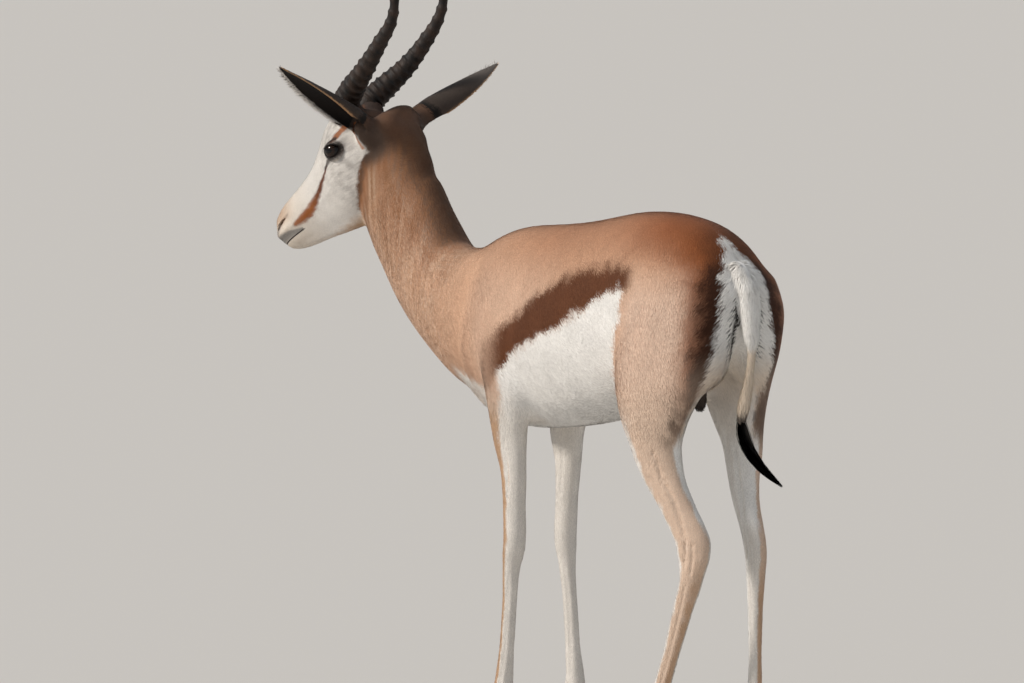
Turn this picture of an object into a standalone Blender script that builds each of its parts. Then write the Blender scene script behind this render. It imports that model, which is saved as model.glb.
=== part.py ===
"""A young springbok ram, standing, life size, as separate closed solids.

Metres, +Z up. The animal faces -Y and +X is its left. Places along the body
are first given from the fore feet, and ORIGIN then moves everything so that
the zero point lies on the floor under the middle of the whole animal.
"""

import bpy
import bmesh
import numpy as np
from math import cos, pi, radians, sin
from mathutils import Matrix, Vector

ORIGIN = (0.0072, 0.0024, 0.0)       # middle of the bounding box, on the floor
GAP = 0.0003                        # between neighbouring solids

# The head has its own zero point at the poll. It is turned to the left, and
# its long axis slopes down to the nose.
POLL = (0.0, -0.347, 0.872)
HEAD_SCALE = 1.0
HEAD_YAW = radians(24)
HEAD_PITCH = radians(33)

# Fineness of the flesh, and the share of its faces that is kept.
BODY_VOXEL = 0.0055
HEAD_VOXEL = 0.0024
BODY_SHARE = 0.055
HEAD_SHARE = 0.047
BODY_ROUNDS = 10
HEAD_ROUNDS = 8
BLEND_ROUNDS = 24

# Trunk sections: y, top, bottom, half width, level of the width, then the
# roundness of the back and of the belly (2 is an ellipse, less is sharper).
TRUNK = [
    (-0.150, 0.668, 0.520, 0.032, 0.585, 2.0, 2.0),
    (-0.125, 0.699, 0.486, 0.052, 0.590, 2.0, 2.0),
    (-0.090, 0.716, 0.464, 0.068, 0.595, 1.9, 1.9),
    (-0.048, 0.730, 0.455, 0.080, 0.598, 1.8, 1.9),
    (0.000, 0.738, 0.453, 0.088, 0.595, 1.7, 1.9),
    (0.050, 0.742, 0.455, 0.094, 0.592, 1.7, 1.9),
    (0.100, 0.746, 0.460, 0.099, 0.592, 1.8, 1.9),
    (0.150, 0.752, 0.467, 0.103, 0.595, 1.9, 2.0),
    (0.200, 0.760, 0.477, 0.103, 0.602, 2.0, 2.0),
    (0.250, 0.768, 0.488, 0.099, 0.610, 2.0, 2.0),
    (0.300, 0.771, 0.503, 0.095, 0.625, 2.0, 2.0),
    (0.350, 0.768, 0.522, 0.093, 0.640, 2.0, 2.0),
    (0.400, 0.758, 0.545, 0.088, 0.650, 2.0, 2.0),
    (0.440, 0.735, 0.575, 0.074, 0.655, 2.0, 2.0),
    (0.470, 0.705, 0.600, 0.054, 0.655, 2.0, 2.0),
    (0.490, 0.678, 0.625, 0.030, 0.655, 2.0, 2.0),
]

# Neck sections, square to its path: x, y, z, half depth, half width.
NECK = [
    (0.012, -0.374, 0.826, 0.052, 0.034),
    (0.004, -0.351, 0.800, 0.061, 0.039),
    (0.002, -0.339, 0.762, 0.073, 0.042),
    (0.000, -0.315, 0.722, 0.080, 0.045),
    (0.000, -0.279, 0.680, 0.080, 0.050),
    (0.000, -0.231, 0.635, 0.078, 0.057),
    (0.000, -0.165, 0.608, 0.094, 0.066),
    (0.000, -0.100, 0.598, 0.106, 0.072),
]
NECK_RINGS = 40
NECK_IN_HEAD = 14                   # rings that are grown together with the head

# Head sections along its axis: s, top, bottom, then the half width near the
# top, in the middle and near the bottom.
HEAD = [
    (-0.016, -0.012, -0.060, 0.014, 0.020, 0.016),
    (0.000, 0.000, -0.076, 0.026, 0.033, 0.025),
    (0.030, 0.030, -0.090, 0.033, 0.037, 0.027),
    (0.060, 0.049, -0.098, 0.036, 0.040, 0.027),
    (0.085, 0.057, -0.101, 0.035, 0.041, 0.026),
    (0.105, 0.050, -0.102, 0.032, 0.039, 0.024),
    (0.135, 0.0290, -0.100, 0.026, 0.034, 0.021),
    (0.160, 0.0135, -0.094, 0.021, 0.029, 0.018),
    (0.190, 0.0030, -0.0865, 0.0175, 0.0245, 0.0155),
    (0.215, -0.0030, -0.0815, 0.0165, 0.0225, 0.0145),
    (0.235, -0.0085, -0.0755, 0.0150, 0.0215, 0.0135),
    (0.250, -0.0185, -0.0665, 0.0125, 0.0185, 0.0110),
    (0.2585, -0.0300, -0.0540, 0.0080, 0.0120, 0.0075),
]

# Leg sections, level with the floor: height, half length, half width and the
# turn outwards in degrees.
LEG_SIZES = {
    "fore": [
        (0.640, 0.060, 0.026, 0),
        (0.580, 0.062, 0.030, 0),
        (0.530, 0.056, 0.028, 0),
        (0.490, 0.043, 0.025, 0),
        (0.450, 0.033, 0.021, 0),
        (0.400, 0.0225, 0.0170, 0),
        (0.355, 0.0185, 0.0155, 0),
        (0.315, 0.0175, 0.0160, 0),
        (0.285, 0.0165, 0.0158, 0),
        (0.262, 0.0130, 0.0128, 0),
        (0.221, 0.0115, 0.0108, 0),
        (0.150, 0.0115, 0.0108, 0),
        (0.105, 0.0140, 0.0130, 0),
        (0.085, 0.0170, 0.0155, 0),
        (0.062, 0.0145, 0.0145, 0),
        (0.040, 0.0190, 0.0180, 0),
        (0.010, 0.0210, 0.0185, 0),
    ],
    "hind": [
        (0.690, 0.060, 0.034, 0),
        (0.640, 0.085, 0.040, 4),
        (0.580, 0.092, 0.040, 6),
        (0.530, 0.080, 0.036, 8),
        (0.490, 0.060, 0.031, 10),
        (0.455, 0.043, 0.026, 13),
        (0.413, 0.035, 0.021, 16),
        (0.373, 0.0305, 0.0175, 18),
        (0.346, 0.0300, 0.0160, 20),
        (0.329, 0.0290, 0.0155, 20),
        (0.309, 0.0260, 0.0150, 20),
        (0.278, 0.0185, 0.0134, 20),
        (0.233, 0.0162, 0.0105, 20),
        (0.169, 0.0130, 0.0090, 20),
        (0.118, 0.0135, 0.0105, 20),
        (0.090, 0.0170, 0.0150, 20),
        (0.064, 0.0145, 0.0145, 20),
        (0.040, 0.0190, 0.0180, 20),
        (0.010, 0.0210, 0.0185, 20),
    ],
}

# The way each leg runs down: height, x, y.
LEG_PATHS = {
    "foreleg_left": [
        (0.640, 0.052, 0.010), (0.580, 0.064, 0.015), (0.530, 0.067, 0.022),
        (0.490, 0.066, 0.019), (0.435, 0.061, 0.015), (0.394, 0.061, 0.023),
        (0.352, 0.061, 0.0246), (0.294, 0.061, 0.0246), (0.262, 0.061, 0.018),
        (0.221, 0.061, 0.0147), (0.150, 0.061, 0.007), (0.098, 0.061, -0.001),
        (0.080, 0.061, -0.004), (0.060, 0.061, -0.012), (0.040, 0.061, -0.022),
        (0.010, 0.061, -0.028),
    ],
    "foreleg_right": [
        (0.640, -0.052, 0.005), (0.580, -0.064, 0.005), (0.530, -0.067, 0.005),
        (0.490, -0.066, -0.012), (0.446, -0.062, -0.022), (0.404, -0.061, -0.0185),
        (0.345, -0.061, -0.0221), (0.287, -0.061, -0.0245), (0.255, -0.061, -0.020),
        (0.214, -0.061, -0.0142), (0.142, -0.061, -0.0065), (0.092, -0.061, -0.0015),
        (0.080, -0.061, -0.003), (0.060, -0.061, -0.011), (0.040, -0.061, -0.021),
        (0.010, -0.061, -0.027),
    ],
    "hindleg_left": [
        (0.690, 0.050, 0.405), (0.640, 0.058, 0.395), (0.580, 0.064, 0.385),
        (0.530, 0.070, 0.382), (0.490, 0.070, 0.370), (0.455, 0.066, 0.367),
        (0.413, 0.061, 0.378), (0.373, 0.056, 0.404), (0.346, 0.053, 0.423),
        (0.329, 0.051, 0.432), (0.309, 0.050, 0.434), (0.278, 0.050, 0.429),
        (0.233, 0.050, 0.409), (0.169, 0.050, 0.381), (0.118, 0.050, 0.358),
        (0.085, 0.051, 0.348), (0.062, 0.054, 0.338), (0.040, 0.057, 0.325),
        (0.010, 0.059, 0.319),
    ],
    "hindleg_right": [
        (0.690, -0.050, 0.405), (0.640, -0.058, 0.400), (0.580, -0.059, 0.386),
        (0.530, -0.061, 0.376), (0.495, -0.061, 0.381), (0.445, -0.060, 0.396),
        (0.408, -0.057, 0.402), (0.371, -0.055, 0.412), (0.340, -0.055, 0.424),
        (0.325, -0.055, 0.429), (0.305, -0.055, 0.433), (0.278, -0.055, 0.433),
        (0.233, -0.055, 0.432), (0.169, -0.055, 0.432), (0.118, -0.055, 0.431),
        (0.085, -0.056, 0.428), (0.062, -0.059, 0.418), (0.040, -0.062, 0.405),
        (0.010, -0.064, 0.399),
    ],
}

# Muscles and bones that swell the flesh: middle, spread in x, y and z, and
# height. "both" makes a mirrored twin.
SWELLS = [
    ("both", (0.085, -0.010, 0.650), (0.040, 0.028, 0.060), 0.006),    # shoulder blade
    ("both", (0.075, -0.075, 0.560), (0.030, 0.028, 0.034), 0.009),    # point of the shoulder
    ("both", (0.092, 0.045, 0.560), (0.030, 0.032, 0.035), 0.007),     # upper arm
    ("both", (0.100, 0.060, 0.615), (0.030, 0.018, 0.050), -0.003),    # hollow behind the shoulder
    ("one", (0.000, -0.145, 0.505), (0.040, 0.036, 0.030), 0.006),     # brisket
    ("both", (0.085, 0.320, 0.715), (0.025, 0.024, 0.020), 0.006),     # point of the hip
    ("both", (0.090, 0.275, 0.640), (0.030, 0.025, 0.050), -0.005),    # hollow of the flank
    ("both", (0.100, 0.400, 0.640), (0.030, 0.040, 0.060), 0.007),     # thigh
    ("both", (0.105, 0.345, 0.560), (0.030, 0.030, 0.035), 0.005),     # stifle
]
SCROTUM = ((0.000, 0.377, 0.518), (0.015, 0.018, 0.024))
BUTTOCK = ((0.032, 0.444, 0.600), (0.029, 0.042, 0.068))

# Swellings of the head, in its own s, side, n axes, in the same form.
HEAD_SWELLS = [
    ("both", (0.095, 0.038, 0.022), (0.020, 0.012, 0.012), 0.0070),    # brow
    ("both", (0.112, 0.036, -0.012), (0.016, 0.014, 0.010), 0.0040),   # rim under the eye
    ("both", (0.135, 0.034, 0.006), (0.012, 0.012, 0.007), -0.0025),   # hollow before the eye
    ("both", (0.118, 0.030, -0.065), (0.024, 0.014, 0.022), 0.0045),   # cheek
    ("both", (0.165, 0.026, -0.045), (0.024, 0.012, 0.014), -0.0025),  # hollow of the jaw
    ("both", (0.245, 0.020, -0.022), (0.010, 0.010, 0.006), 0.0035),   # wing of the nostril
    ("both", (0.242, 0.018, -0.042), (0.014, 0.012, 0.005), 0.0025),   # upper lip
    ("both", (0.236, 0.014, -0.062), (0.014, 0.012, 0.007), 0.0020),   # lower lip
]
CROWN = ((0.005, 0.000, 0.000), (0.030, 0.034, 0.016))
EAR_BASE = ((0.009, 0.027, -0.010), (0.024, 0.021, 0.023))
HORN_BASE = ((0.052, 0.026, 0.036), (0.022, 0.019, 0.020))

# Eyes, in the head's forward, left, up axes from the poll.
EYE_PLACE = (0.083, 0.0365, -0.049)
EYE_RADIUS = 0.0145
LID_HALF = (0.0128, 0.0102)         # inner rim, along and across
LID_THICK = 0.0030
LID_TILT = radians(-22)
LID_OUT = 0.0082                    # rim, from the eye's middle
LID_DIP = 0.0035                    # the corners lie this much deeper
LID_MEAN = 0.0115                   # mean half size of the rim
BROW_MORE = 0.35                    # extra thickness of the upper lid
LID_STEPS = 18
LID_SIDES = 8

# Ears: root and tip in the head's forward, left, up axes, the way the cup
# opens, then sections: share of the length, half width, depth, wrap angle.
EARS = {
    "ear_left": ((0.027, 0.037, -0.033), (0.094, 0.165, 0.073), (-0.10, 0.28, -0.95)),
    "ear_right": ((0.004, -0.044, -0.024), (-0.064, -0.163, 0.069), (0.05, -0.24, -0.97)),
}
EAR_SECTIONS = [
    (0.00, 0.0150, 0.0290, 150),
    (0.10, 0.0185, 0.0290, 140),
    (0.22, 0.0225, 0.0270, 124),
    (0.36, 0.0240, 0.0230, 108),
    (0.50, 0.0240, 0.0185, 96),
    (0.64, 0.0220, 0.0135, 86),
    (0.78, 0.0168, 0.0090, 76),
    (0.90, 0.0095, 0.0048, 66),
    (1.00, 0.0022, 0.0014, 55),
]
EAR_THICK = 0.0030
EAR_PLUG = (0.0175, 0.0210, 0.0340)   # radii of the fleshy root: side, back, along
EAR_PLUG_BACK = 0.009               # its middle lies behind the ear's line

# Horns: middle line in the head's forward, side, up axes, with the radius.
HORN_PATH = [
    (0.0765, 0.0245, -0.006, 0.0178),
    (0.0690, 0.0320, 0.015, 0.0178),
    (0.0495, 0.0450, 0.039, 0.0158),
    (0.026, 0.055, 0.063, 0.0132),
    (-0.008, 0.063, 0.107, 0.0097),
    (-0.027, 0.064, 0.137, 0.0075),
    (-0.0335, 0.0660, 0.162, 0.0060),
    (-0.0285, 0.0650, 0.197, 0.0045),
    (-0.0165, 0.0565, 0.224, 0.0030),
    (-0.0045, 0.0485, 0.240, 0.0014),
]
HORN_RINGS = 15
HORN_FIRST = 0.09                   # share of the length below the rings
HORN_RINGED = 0.66                  # share of the length with rings
RING_SPREAD = 1.3                   # more than 1 crowds the rings at the base
HORN_SMOOTH = [0.84, 0.90, 0.95, 1.0]
RING_HEIGHT = 0.0021
HORN_SIDES = 10
HORN_POINTS = 200                   # points on the middle line
HORN_SUNK = [0, 10, 20, 30, 40, 50, 60]   # those of them in the skull's socket
HORN_GAP = 0.0005                   # round the ringed base

# Tail: middle line x, y, z and radius, then the tuft of long black hair.
TAIL = [
    (0.000, 0.464, 0.704, 0.0130),
    (0.000, 0.484, 0.684, 0.0145),
    (0.000, 0.491, 0.655, 0.0143),
    (0.000, 0.496, 0.628, 0.0122),
    (0.000, 0.498, 0.608, 0.0100),
    (0.000, 0.498, 0.594, 0.0068),
    (0.001, 0.498, 0.574, 0.0056),
    (0.002, 0.495, 0.552, 0.0062),
    (0.003, 0.490, 0.531, 0.0078),
    (0.004, 0.485, 0.512, 0.0085),
    (0.004, 0.479, 0.493, 0.0060),
]
TAIL_RINGS = 18
TAIL_SIDES = 10
TUFT = [
    (0.004, 0.479, 0.498, 0.0088),
    (0.002, 0.480, 0.479, 0.0092),
    (-0.003, 0.486, 0.456, 0.0078),
    (-0.011, 0.500, 0.434, 0.0058),
    (-0.0236, 0.5364, 0.4057, 0.0025),
]
TUFT_POINTS = 61                    # points on the middle line
TUFT_CORE = [0, 8, 16, 24, 32]      # those of them in the solid core
CORE_SIZE = 0.62                    # of the tuft's radius
CORE_SIDES = 6
LOCKS = 8
LOCK_TURN = radians(137.5)          # from one lock to the next, round the tail
LOCK_ROOTS = (0.03, 0.40)           # shares of the tuft where locks leave it
LOCK_TIPS = (0.74, 1.00)
LOCK_SKIP = 0.618                   # mixes longer and shorter locks round the tail
LOCK_RINGS = 6
LOCK_WIDTH = 0.0046                 # half width
LOCK_THICK = 0.0014                 # half thickness
LOCK_BULGE = 0.85                   # of the tuft's radius, at mid length

# Small horny knobs behind the fetlock: height, set back, apart, then radii.
DEWCLAW = (0.076, 0.0165, 0.0085)
DEWCLAW_SIZE = (0.0055, 0.0050, 0.0080)

# Hooves: two claws a foot. Sections from the heel to the toe: share of the
# length, half width, height.
CLAW_LENGTH = 0.054
CLAW_HEEL = 0.42                    # share of the length behind the foot's middle
CLAW_BACK = 0.10                    # the wall leans back by this share of height
CLAW_LEAN = 0.0035                  # the toes turn in
CLAW_OUTLINE = [(-1, 0), (1, 0), (1, 0.35), (0.82, 0.72), (0.4, 1),
                (-0.4, 1), (-0.82, 0.72), (-1, 0.35)]
CLAW_APART = 0.0097
CLAW_SECTIONS = [
    (0.00, 0.0040, 0.016),
    (0.08, 0.0068, 0.026),
    (0.28, 0.0086, 0.034),
    (0.50, 0.0088, 0.036),
    (0.64, 0.0080, 0.027),
    (0.80, 0.0060, 0.0165),
    (0.93, 0.0033, 0.0085),
    (1.00, 0.0010, 0.0040),
]
CORONET_HEIGHT = 0.0235
CORONET_SLOPE = 0.30

# Planes that part the flesh into nodes: a point and the way out of the body.
NECK_CUT = ((0.0, -0.331, 0.755), (0.0, -0.757, 0.653))
CHEST_CUT = ((0.0, -0.155, 0.610), (0.0, -0.914, 0.406))
FORE_CUT = ((0.018, 0.0, 0.470), (0.64, 0.0, -0.77))
HIND_CUT = ((0.022, 0.38, 0.500), (0.774, 0.0, -0.633))
FORE_EDGES = [((0, 0.085, 0), (0, -1, 0)), ((0, -0.052, 0), (0, 1, 0))]
HIND_EDGES = [((0, 0.295, 0), (0, 1, 0))]
CANNON_TOP = 0.262                  # the leg is parted under knee and hock
EAR_CUT = 0.014                     # from the ear's root
EAR_ROOM = (0.0235, 0.0245, 0.050)  # radii and length of the room for the ear in the head
EAR_ROOM_BACK = 0.012

# The mouth: a slit with a U of flesh left inside, in the head's s and side.
MOUTH_LEVEL = -0.0495
MOUTH_HALF = 0.0006
MOUTH_CORNER = 0.214
MOUTH_INNER = [(0.214, 0.0150), (0.235, 0.0135), (0.248, 0.0090), (0.2530, 0.0)]
NOSTRIL = ((0.2430, 0.0165, -0.0290), (0.0105, 0.0060, 0.0032))

COLOURS = {
    "coat": ("#B98358", 0.85), "face": ("#EDE6DA", 0.85), "horn": ("#2E2825", 0.45),
    "eye": ("#1A120D", 0.08), "hoof": ("#2B2522", 0.40), "tuft": ("#1C1714", 0.80),
    "leg": ("#D9C6AC", 0.85),
}


def clear_scene():
    for ob in list(bpy.data.objects):
        bpy.data.objects.remove(ob, do_unlink=True)


def collection(name):
    group = bpy.data.collections.new(name)
    bpy.context.scene.collection.children.link(group)
    return group


def linear(channel):
    """One sRGB channel, 0 to 1, as linear light."""
    return channel / 12.92 if channel <= 0.04045 else ((channel + 0.055) / 1.055) ** 2.4


def material(node, kind):
    """A Principled material of the node's own."""
    code, roughness = COLOURS[kind]
    mat = bpy.data.materials.new(node + "_" + kind)
    mat.use_nodes = True
    shader = mat.node_tree.nodes["Principled BSDF"]
    rgb = [linear(int(code[i:i + 2], 16) / 255) for i in (1, 3, 5)]
    shader.inputs["Base Color"].default_value = (*rgb, 1.0)
    shader.inputs["Roughness"].default_value = roughness
    shader.inputs["Metallic"].default_value = 0.0
    return mat


def eased(rows, count):
    """Rows of numbers, read from a smooth curve through the given rows."""
    rows = np.array(rows, float)
    steps = np.linalg.norm(np.diff(rows[:, :3], axis=0), axis=1)
    knots = np.concatenate([[0], np.cumsum(np.maximum(steps, 1e-6))])
    slopes = np.gradient(rows, knots, axis=0)
    places = np.linspace(0, knots[-1], count)
    i = np.clip(np.searchsorted(knots, places, side="right") - 1, 0, len(knots) - 2)
    span = (knots[i + 1] - knots[i])[:, None]
    t = ((places - knots[i]) / span[:, 0])[:, None]
    return ((2 * t**3 - 3 * t**2 + 1) * rows[i] + (t**3 - 2 * t**2 + t) * span * slopes[i]
            + (3 * t**2 - 2 * t**3) * rows[i + 1] + (t**3 - t**2) * span * slopes[i + 1])


def at(rows, place):
    """Values of the rows where their first column has the given value."""
    rows = np.array(sorted(rows), float)
    return [np.interp(place, rows[:, 0], rows[:, k]) for k in range(1, rows.shape[1])]


def tube(rings):
    """Points and faces of a closed loft through rings of equal length."""
    count = len(rings[0])
    points = np.concatenate(rings)
    faces = []
    for r in range(len(rings) - 1):
        for k in range(count):
            n = (k + 1) % count
            faces.append((r * count + k, r * count + n, (r + 1) * count + n, (r + 1) * count + k))
    faces.append(tuple(reversed(range(count))))
    faces.append(tuple((len(rings) - 1) * count + k for k in range(count)))
    return points, faces


def ball(middle, radii, turn=None, across=20, along=12):
    """Points and faces of an ellipsoid."""
    rings = []
    for j in range(1, along):
        a = pi * j / along
        rings.append([(sin(a) * cos(2 * pi * k / across), sin(a) * sin(2 * pi * k / across), -cos(a))
                      for k in range(across)])
    points, faces = tube([np.array(r) for r in rings])
    points = points * np.array(radii)
    if turn is not None:
        points = points @ np.array(turn).T
    return points + np.array(middle), faces


def signed_power(value, power):
    return np.sign(value) * np.abs(value) ** power


def trunk():
    angles = np.linspace(0, 2 * pi, 40, endpoint=False)
    rings = []
    for y, top, bottom, wide, level, upper, lower in eased(TRUNK, 60):
        c, s = np.cos(angles), np.sin(angles)
        power = np.where(s > 0, 2 / upper, 2 / lower)
        height = np.where(s > 0, top - level, level - bottom)
        rings.append(np.stack([wide * signed_power(c, power), np.full_like(c, y),
                               level + height * signed_power(s, power)], -1))
    return tube(rings[::-1])


def path_frames(path):
    """Tangent, side and depth directions along a path in one upright plane."""
    tangents = np.gradient(path, axis=0)
    tangents /= np.linalg.norm(tangents, axis=1)[:, None]
    side = np.cross(tangents, [0, 0, 1.0])
    side /= np.linalg.norm(side, axis=1)[:, None]
    depth = np.cross(side, tangents)
    return tangents, side, depth


def neck(count=NECK_RINGS):
    """The neck, or its first rings below the head."""
    rows = eased(NECK, NECK_RINGS)[:count]
    _, side, depth = path_frames(rows[:, :3])
    angles = np.linspace(0, 2 * pi, 32, endpoint=False)
    rings = []
    for row, s, d in zip(rows, side, depth):
        rings.append(row[:3] + np.outer(np.cos(angles) * row[4], s) + np.outer(np.sin(angles) * row[3], d))
    return tube(rings)


def head_axes():
    forward = np.array([sin(HEAD_YAW), -cos(HEAD_YAW), 0])
    left = np.array([cos(HEAD_YAW), sin(HEAD_YAW), 0])
    return forward, left, np.array([0, 0, 1.0])


def from_head(points):
    """Points given as forward, left, up from the poll."""
    points = np.array(points, float)
    return np.array(POLL) + HEAD_SCALE * points @ np.array(head_axes())


def from_skull(points):
    """Points given along, beside and above the sloping axis of the head."""
    points = np.array(points, float)
    s, side, n = points[..., 0], points[..., 1], points[..., 2]
    forward = s * cos(HEAD_PITCH) + n * sin(HEAD_PITCH)
    up = n * cos(HEAD_PITCH) - s * sin(HEAD_PITCH)
    return from_head(np.stack([forward, side, up], -1))


def skull():
    angles = np.linspace(0, 2 * pi, 36, endpoint=False)
    rings = []
    for s, top, bottom, high, mid, low in eased(HEAD, 70):
        v = np.sin(angles)
        widths = np.interp(v, [-0.75, 0.0, 0.75], [low, mid, high])
        side = widths * signed_power(np.cos(angles), 0.8)
        n = (top + bottom) / 2 + (top - bottom) / 2 * signed_power(v, 0.9)
        rings.append(from_skull(np.stack([np.full_like(v, s), side, n], -1)))
    return tube(rings)


def leg(name):
    kind = "fore" if name.startswith("fore") else "hind"
    way = 1 if name.endswith("left") else -1
    angles = np.linspace(0, 2 * pi, 24, endpoint=False)
    path = eased(LEG_PATHS[name], 70)
    rings = []
    for z, x, y in path:
        length, width, turn = at(LEG_SIZES[kind], z)
        a = way * radians(turn)
        along = np.array([sin(a), -cos(a), 0])
        side = np.array([cos(a), sin(a), 0])
        rings.append(np.array([x, y, z]) + np.outer(np.sin(angles) * length, along)
                     + np.outer(np.cos(angles) * width, side))
    return tube(rings)


def dewclaws(name):
    """Two small horny knobs behind the fetlock."""
    height, back, apart = DEWCLAW
    x, y = at(LEG_PATHS[name], height)
    return [ball((x + dx, y + back, height), DEWCLAW_SIZE, across=10, along=6)
            for dx in (-apart, apart)]


def swell(mesh, table, place, mirror):
    """Push the surface out, or in, where muscle and bone shape it.

    Mirror gives, for each axis of the table, -1 where a twin is flipped.
    """
    points = coordinates(mesh)
    normals = np.empty(points.size)
    mesh.vertices.foreach_get("normal", normals)
    local = place(points)
    move = np.zeros(len(points))
    for sides, middle, spread, height in table:
        for flip in ((1, 1, 1), mirror) if sides == "both" else ((1, 1, 1),):
            gap = local - np.array(middle) * np.array(flip)
            move += height * np.exp(-0.5 * ((gap / np.array(spread)) ** 2).sum(1))
    points = points + normals.reshape(-1, 3) * move[:, None]
    mesh.vertices.foreach_set("co", points.ravel())
    mesh.update()


def to_skull(points):
    """World points as along, beside and above the sloping axis of the head."""
    local = (points - np.array(POLL)) @ np.array(head_axes()).T / HEAD_SCALE
    forward, side, up = local[:, 0], local[:, 1], local[:, 2]
    s = forward * cos(HEAD_PITCH) - up * sin(HEAD_PITCH)
    n = forward * sin(HEAD_PITCH) + up * cos(HEAD_PITCH)
    return np.stack([s, side, n], -1)


def head_knobs():
    """The crown between the ears, and the fleshy bases of ears and horns."""
    points, faces = ball(*CROWN)
    pieces = [(from_skull(points), faces)]
    for middle, radii in (EAR_BASE, HORN_BASE):
        for way in (1, -1):
            points, faces = ball((middle[0], middle[1] * way, middle[2]), radii)
            pieces.append((from_skull(points), faces))
    return pieces


def mesh_of(name, pieces):
    """One mesh from loose closed pieces, each facing out."""
    points, faces, start = [], [], 0
    for more_points, more_faces in pieces:
        points.extend(map(tuple, more_points))
        faces.extend(tuple(i + start for i in face) for face in more_faces)
        start += len(more_points)
    mesh = bpy.data.meshes.new(name)
    mesh.from_pydata(points, [], faces)
    shape = bmesh.new()
    shape.from_mesh(mesh)
    bmesh.ops.recalc_face_normals(shape, faces=shape.faces)
    bmesh.ops.triangulate(shape, faces=shape.faces, quad_method="FIXED")
    shape.to_mesh(mesh)
    shape.free()
    return mesh


def add(name, mesh, group):
    ob = bpy.data.objects.new(name, mesh)
    group.objects.link(ob)
    return ob


def settle(ob):
    """Apply every modifier of the object."""
    graph = bpy.context.evaluated_depsgraph_get()
    graph.update()
    mesh = bpy.data.meshes.new_from_object(ob.evaluated_get(graph))
    ob.modifiers.clear()
    ob.data = mesh


def coordinates(mesh):
    points = np.empty(len(mesh.vertices) * 3)
    mesh.vertices.foreach_get("co", points)
    return points.reshape(-1, 3)


def even_out(mesh, rounds, blend):
    """Smooth a mesh without shrinking it, by a pull and a slightly larger push.

    Then more pulls alone blend the joins, where the blend function says so.
    """
    count = len(mesh.vertices)
    points = coordinates(mesh)
    edges = np.empty(len(mesh.edges) * 2, int)
    mesh.edges.foreach_get("vertices", edges)
    a, b = edges[0::2], edges[1::2]
    degree = np.bincount(np.concatenate([a, b]), minlength=count)[:, None]
    mask = blend(points)[:, None]
    for step in range(rounds * 2 + BLEND_ROUNDS):
        total = np.zeros_like(points)
        for k in range(3):
            total[:, k] = np.bincount(a, points[b, k], count) + np.bincount(b, points[a, k], count)
        weight = 0.55 if step % 2 == 0 else -0.56
        if step >= rounds * 2:
            weight = 0.6 * mask
        points = points + weight * (total / degree - points)
    mesh.vertices.foreach_set("co", points.ravel())
    mesh.update()


def body_blend(points):
    """1 on the trunk, falling to 0 down the legs and at the head."""
    down = np.clip((points[:, 2] - 0.44) / 0.08, 0, 1)
    ahead = np.clip((points[:, 1] + 0.30) / 0.08, 0, 1)
    return down * ahead


def head_blend(points):
    """1 where the neck and ears join the skull, 0 on the face."""
    forward = (points - np.array(POLL)) @ head_axes()[0]
    return 0.5 * np.clip(1 - forward / 0.06, 0, 1)


def flesh(name, pieces, voxel, rounds, share, blend, table, place, mirror, group):
    """Loose pieces grown into one skin, evened out and thinned."""
    ob = add(name, mesh_of(name, pieces), group)
    remesh = ob.modifiers.new("Grow together", "REMESH")
    remesh.mode = "VOXEL"
    remesh.voxel_size = voxel
    remesh.adaptivity = 0.0
    settle(ob)
    even_out(ob.data, rounds, blend)
    swell(ob.data, table, place, mirror)
    thin = ob.modifiers.new("Thin out", "DECIMATE")
    thin.ratio = share
    thin.use_collapse_triangulate = True
    settle(ob)
    return ob


def join(ob, other, operation, solver="MANIFOLD"):
    """Boolean with another object, applied."""
    change = ob.modifiers.new(operation.title(), "BOOLEAN")
    change.operation = operation
    change.solver = solver
    change.object = other
    settle(ob)


def keep_largest(ob):
    """Drop every loose scrap, keeping the largest closed surface."""
    shape = bmesh.new()
    shape.from_mesh(ob.data)
    seen, best = set(), []
    for first in shape.verts:
        if first in seen:
            continue
        stack, island = [first], []
        seen.add(first)
        while stack:
            vert = stack.pop()
            island.append(vert)
            for edge in vert.link_edges:
                other = edge.other_vert(vert)
                if other not in seen:
                    seen.add(other)
                    stack.append(other)
        if len(island) > len(best):
            best = island
    kept = set(best)
    bmesh.ops.delete(shape, geom=[v for v in shape.verts if v not in kept], context="VERTS")
    bmesh.ops.triangulate(shape, faces=shape.faces)
    shape.to_mesh(ob.data)
    shape.free()


def half_space(name, point, normal, group, side=4.0):
    """A large block whose near face passes through the point."""
    normal = Vector(normal).normalized()
    mesh = bpy.data.meshes.new(name)
    shape = bmesh.new()
    bmesh.ops.create_cube(shape, size=side)
    turn = normal.to_track_quat("Z", "Y").to_matrix().to_4x4()
    place = Matrix.Translation(Vector(point) + normal * side / 2)
    bmesh.ops.transform(shape, matrix=place @ turn, verts=shape.verts)
    shape.to_mesh(mesh)
    shape.free()
    ob = add(name, mesh, group)
    ob.hide_render = True
    ob.display_type = "WIRE"
    return ob


def remove(ob):
    bpy.data.objects.remove(ob, do_unlink=True)


def copy_of(ob, name, group):
    return add(name, ob.data.copy(), group)


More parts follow.
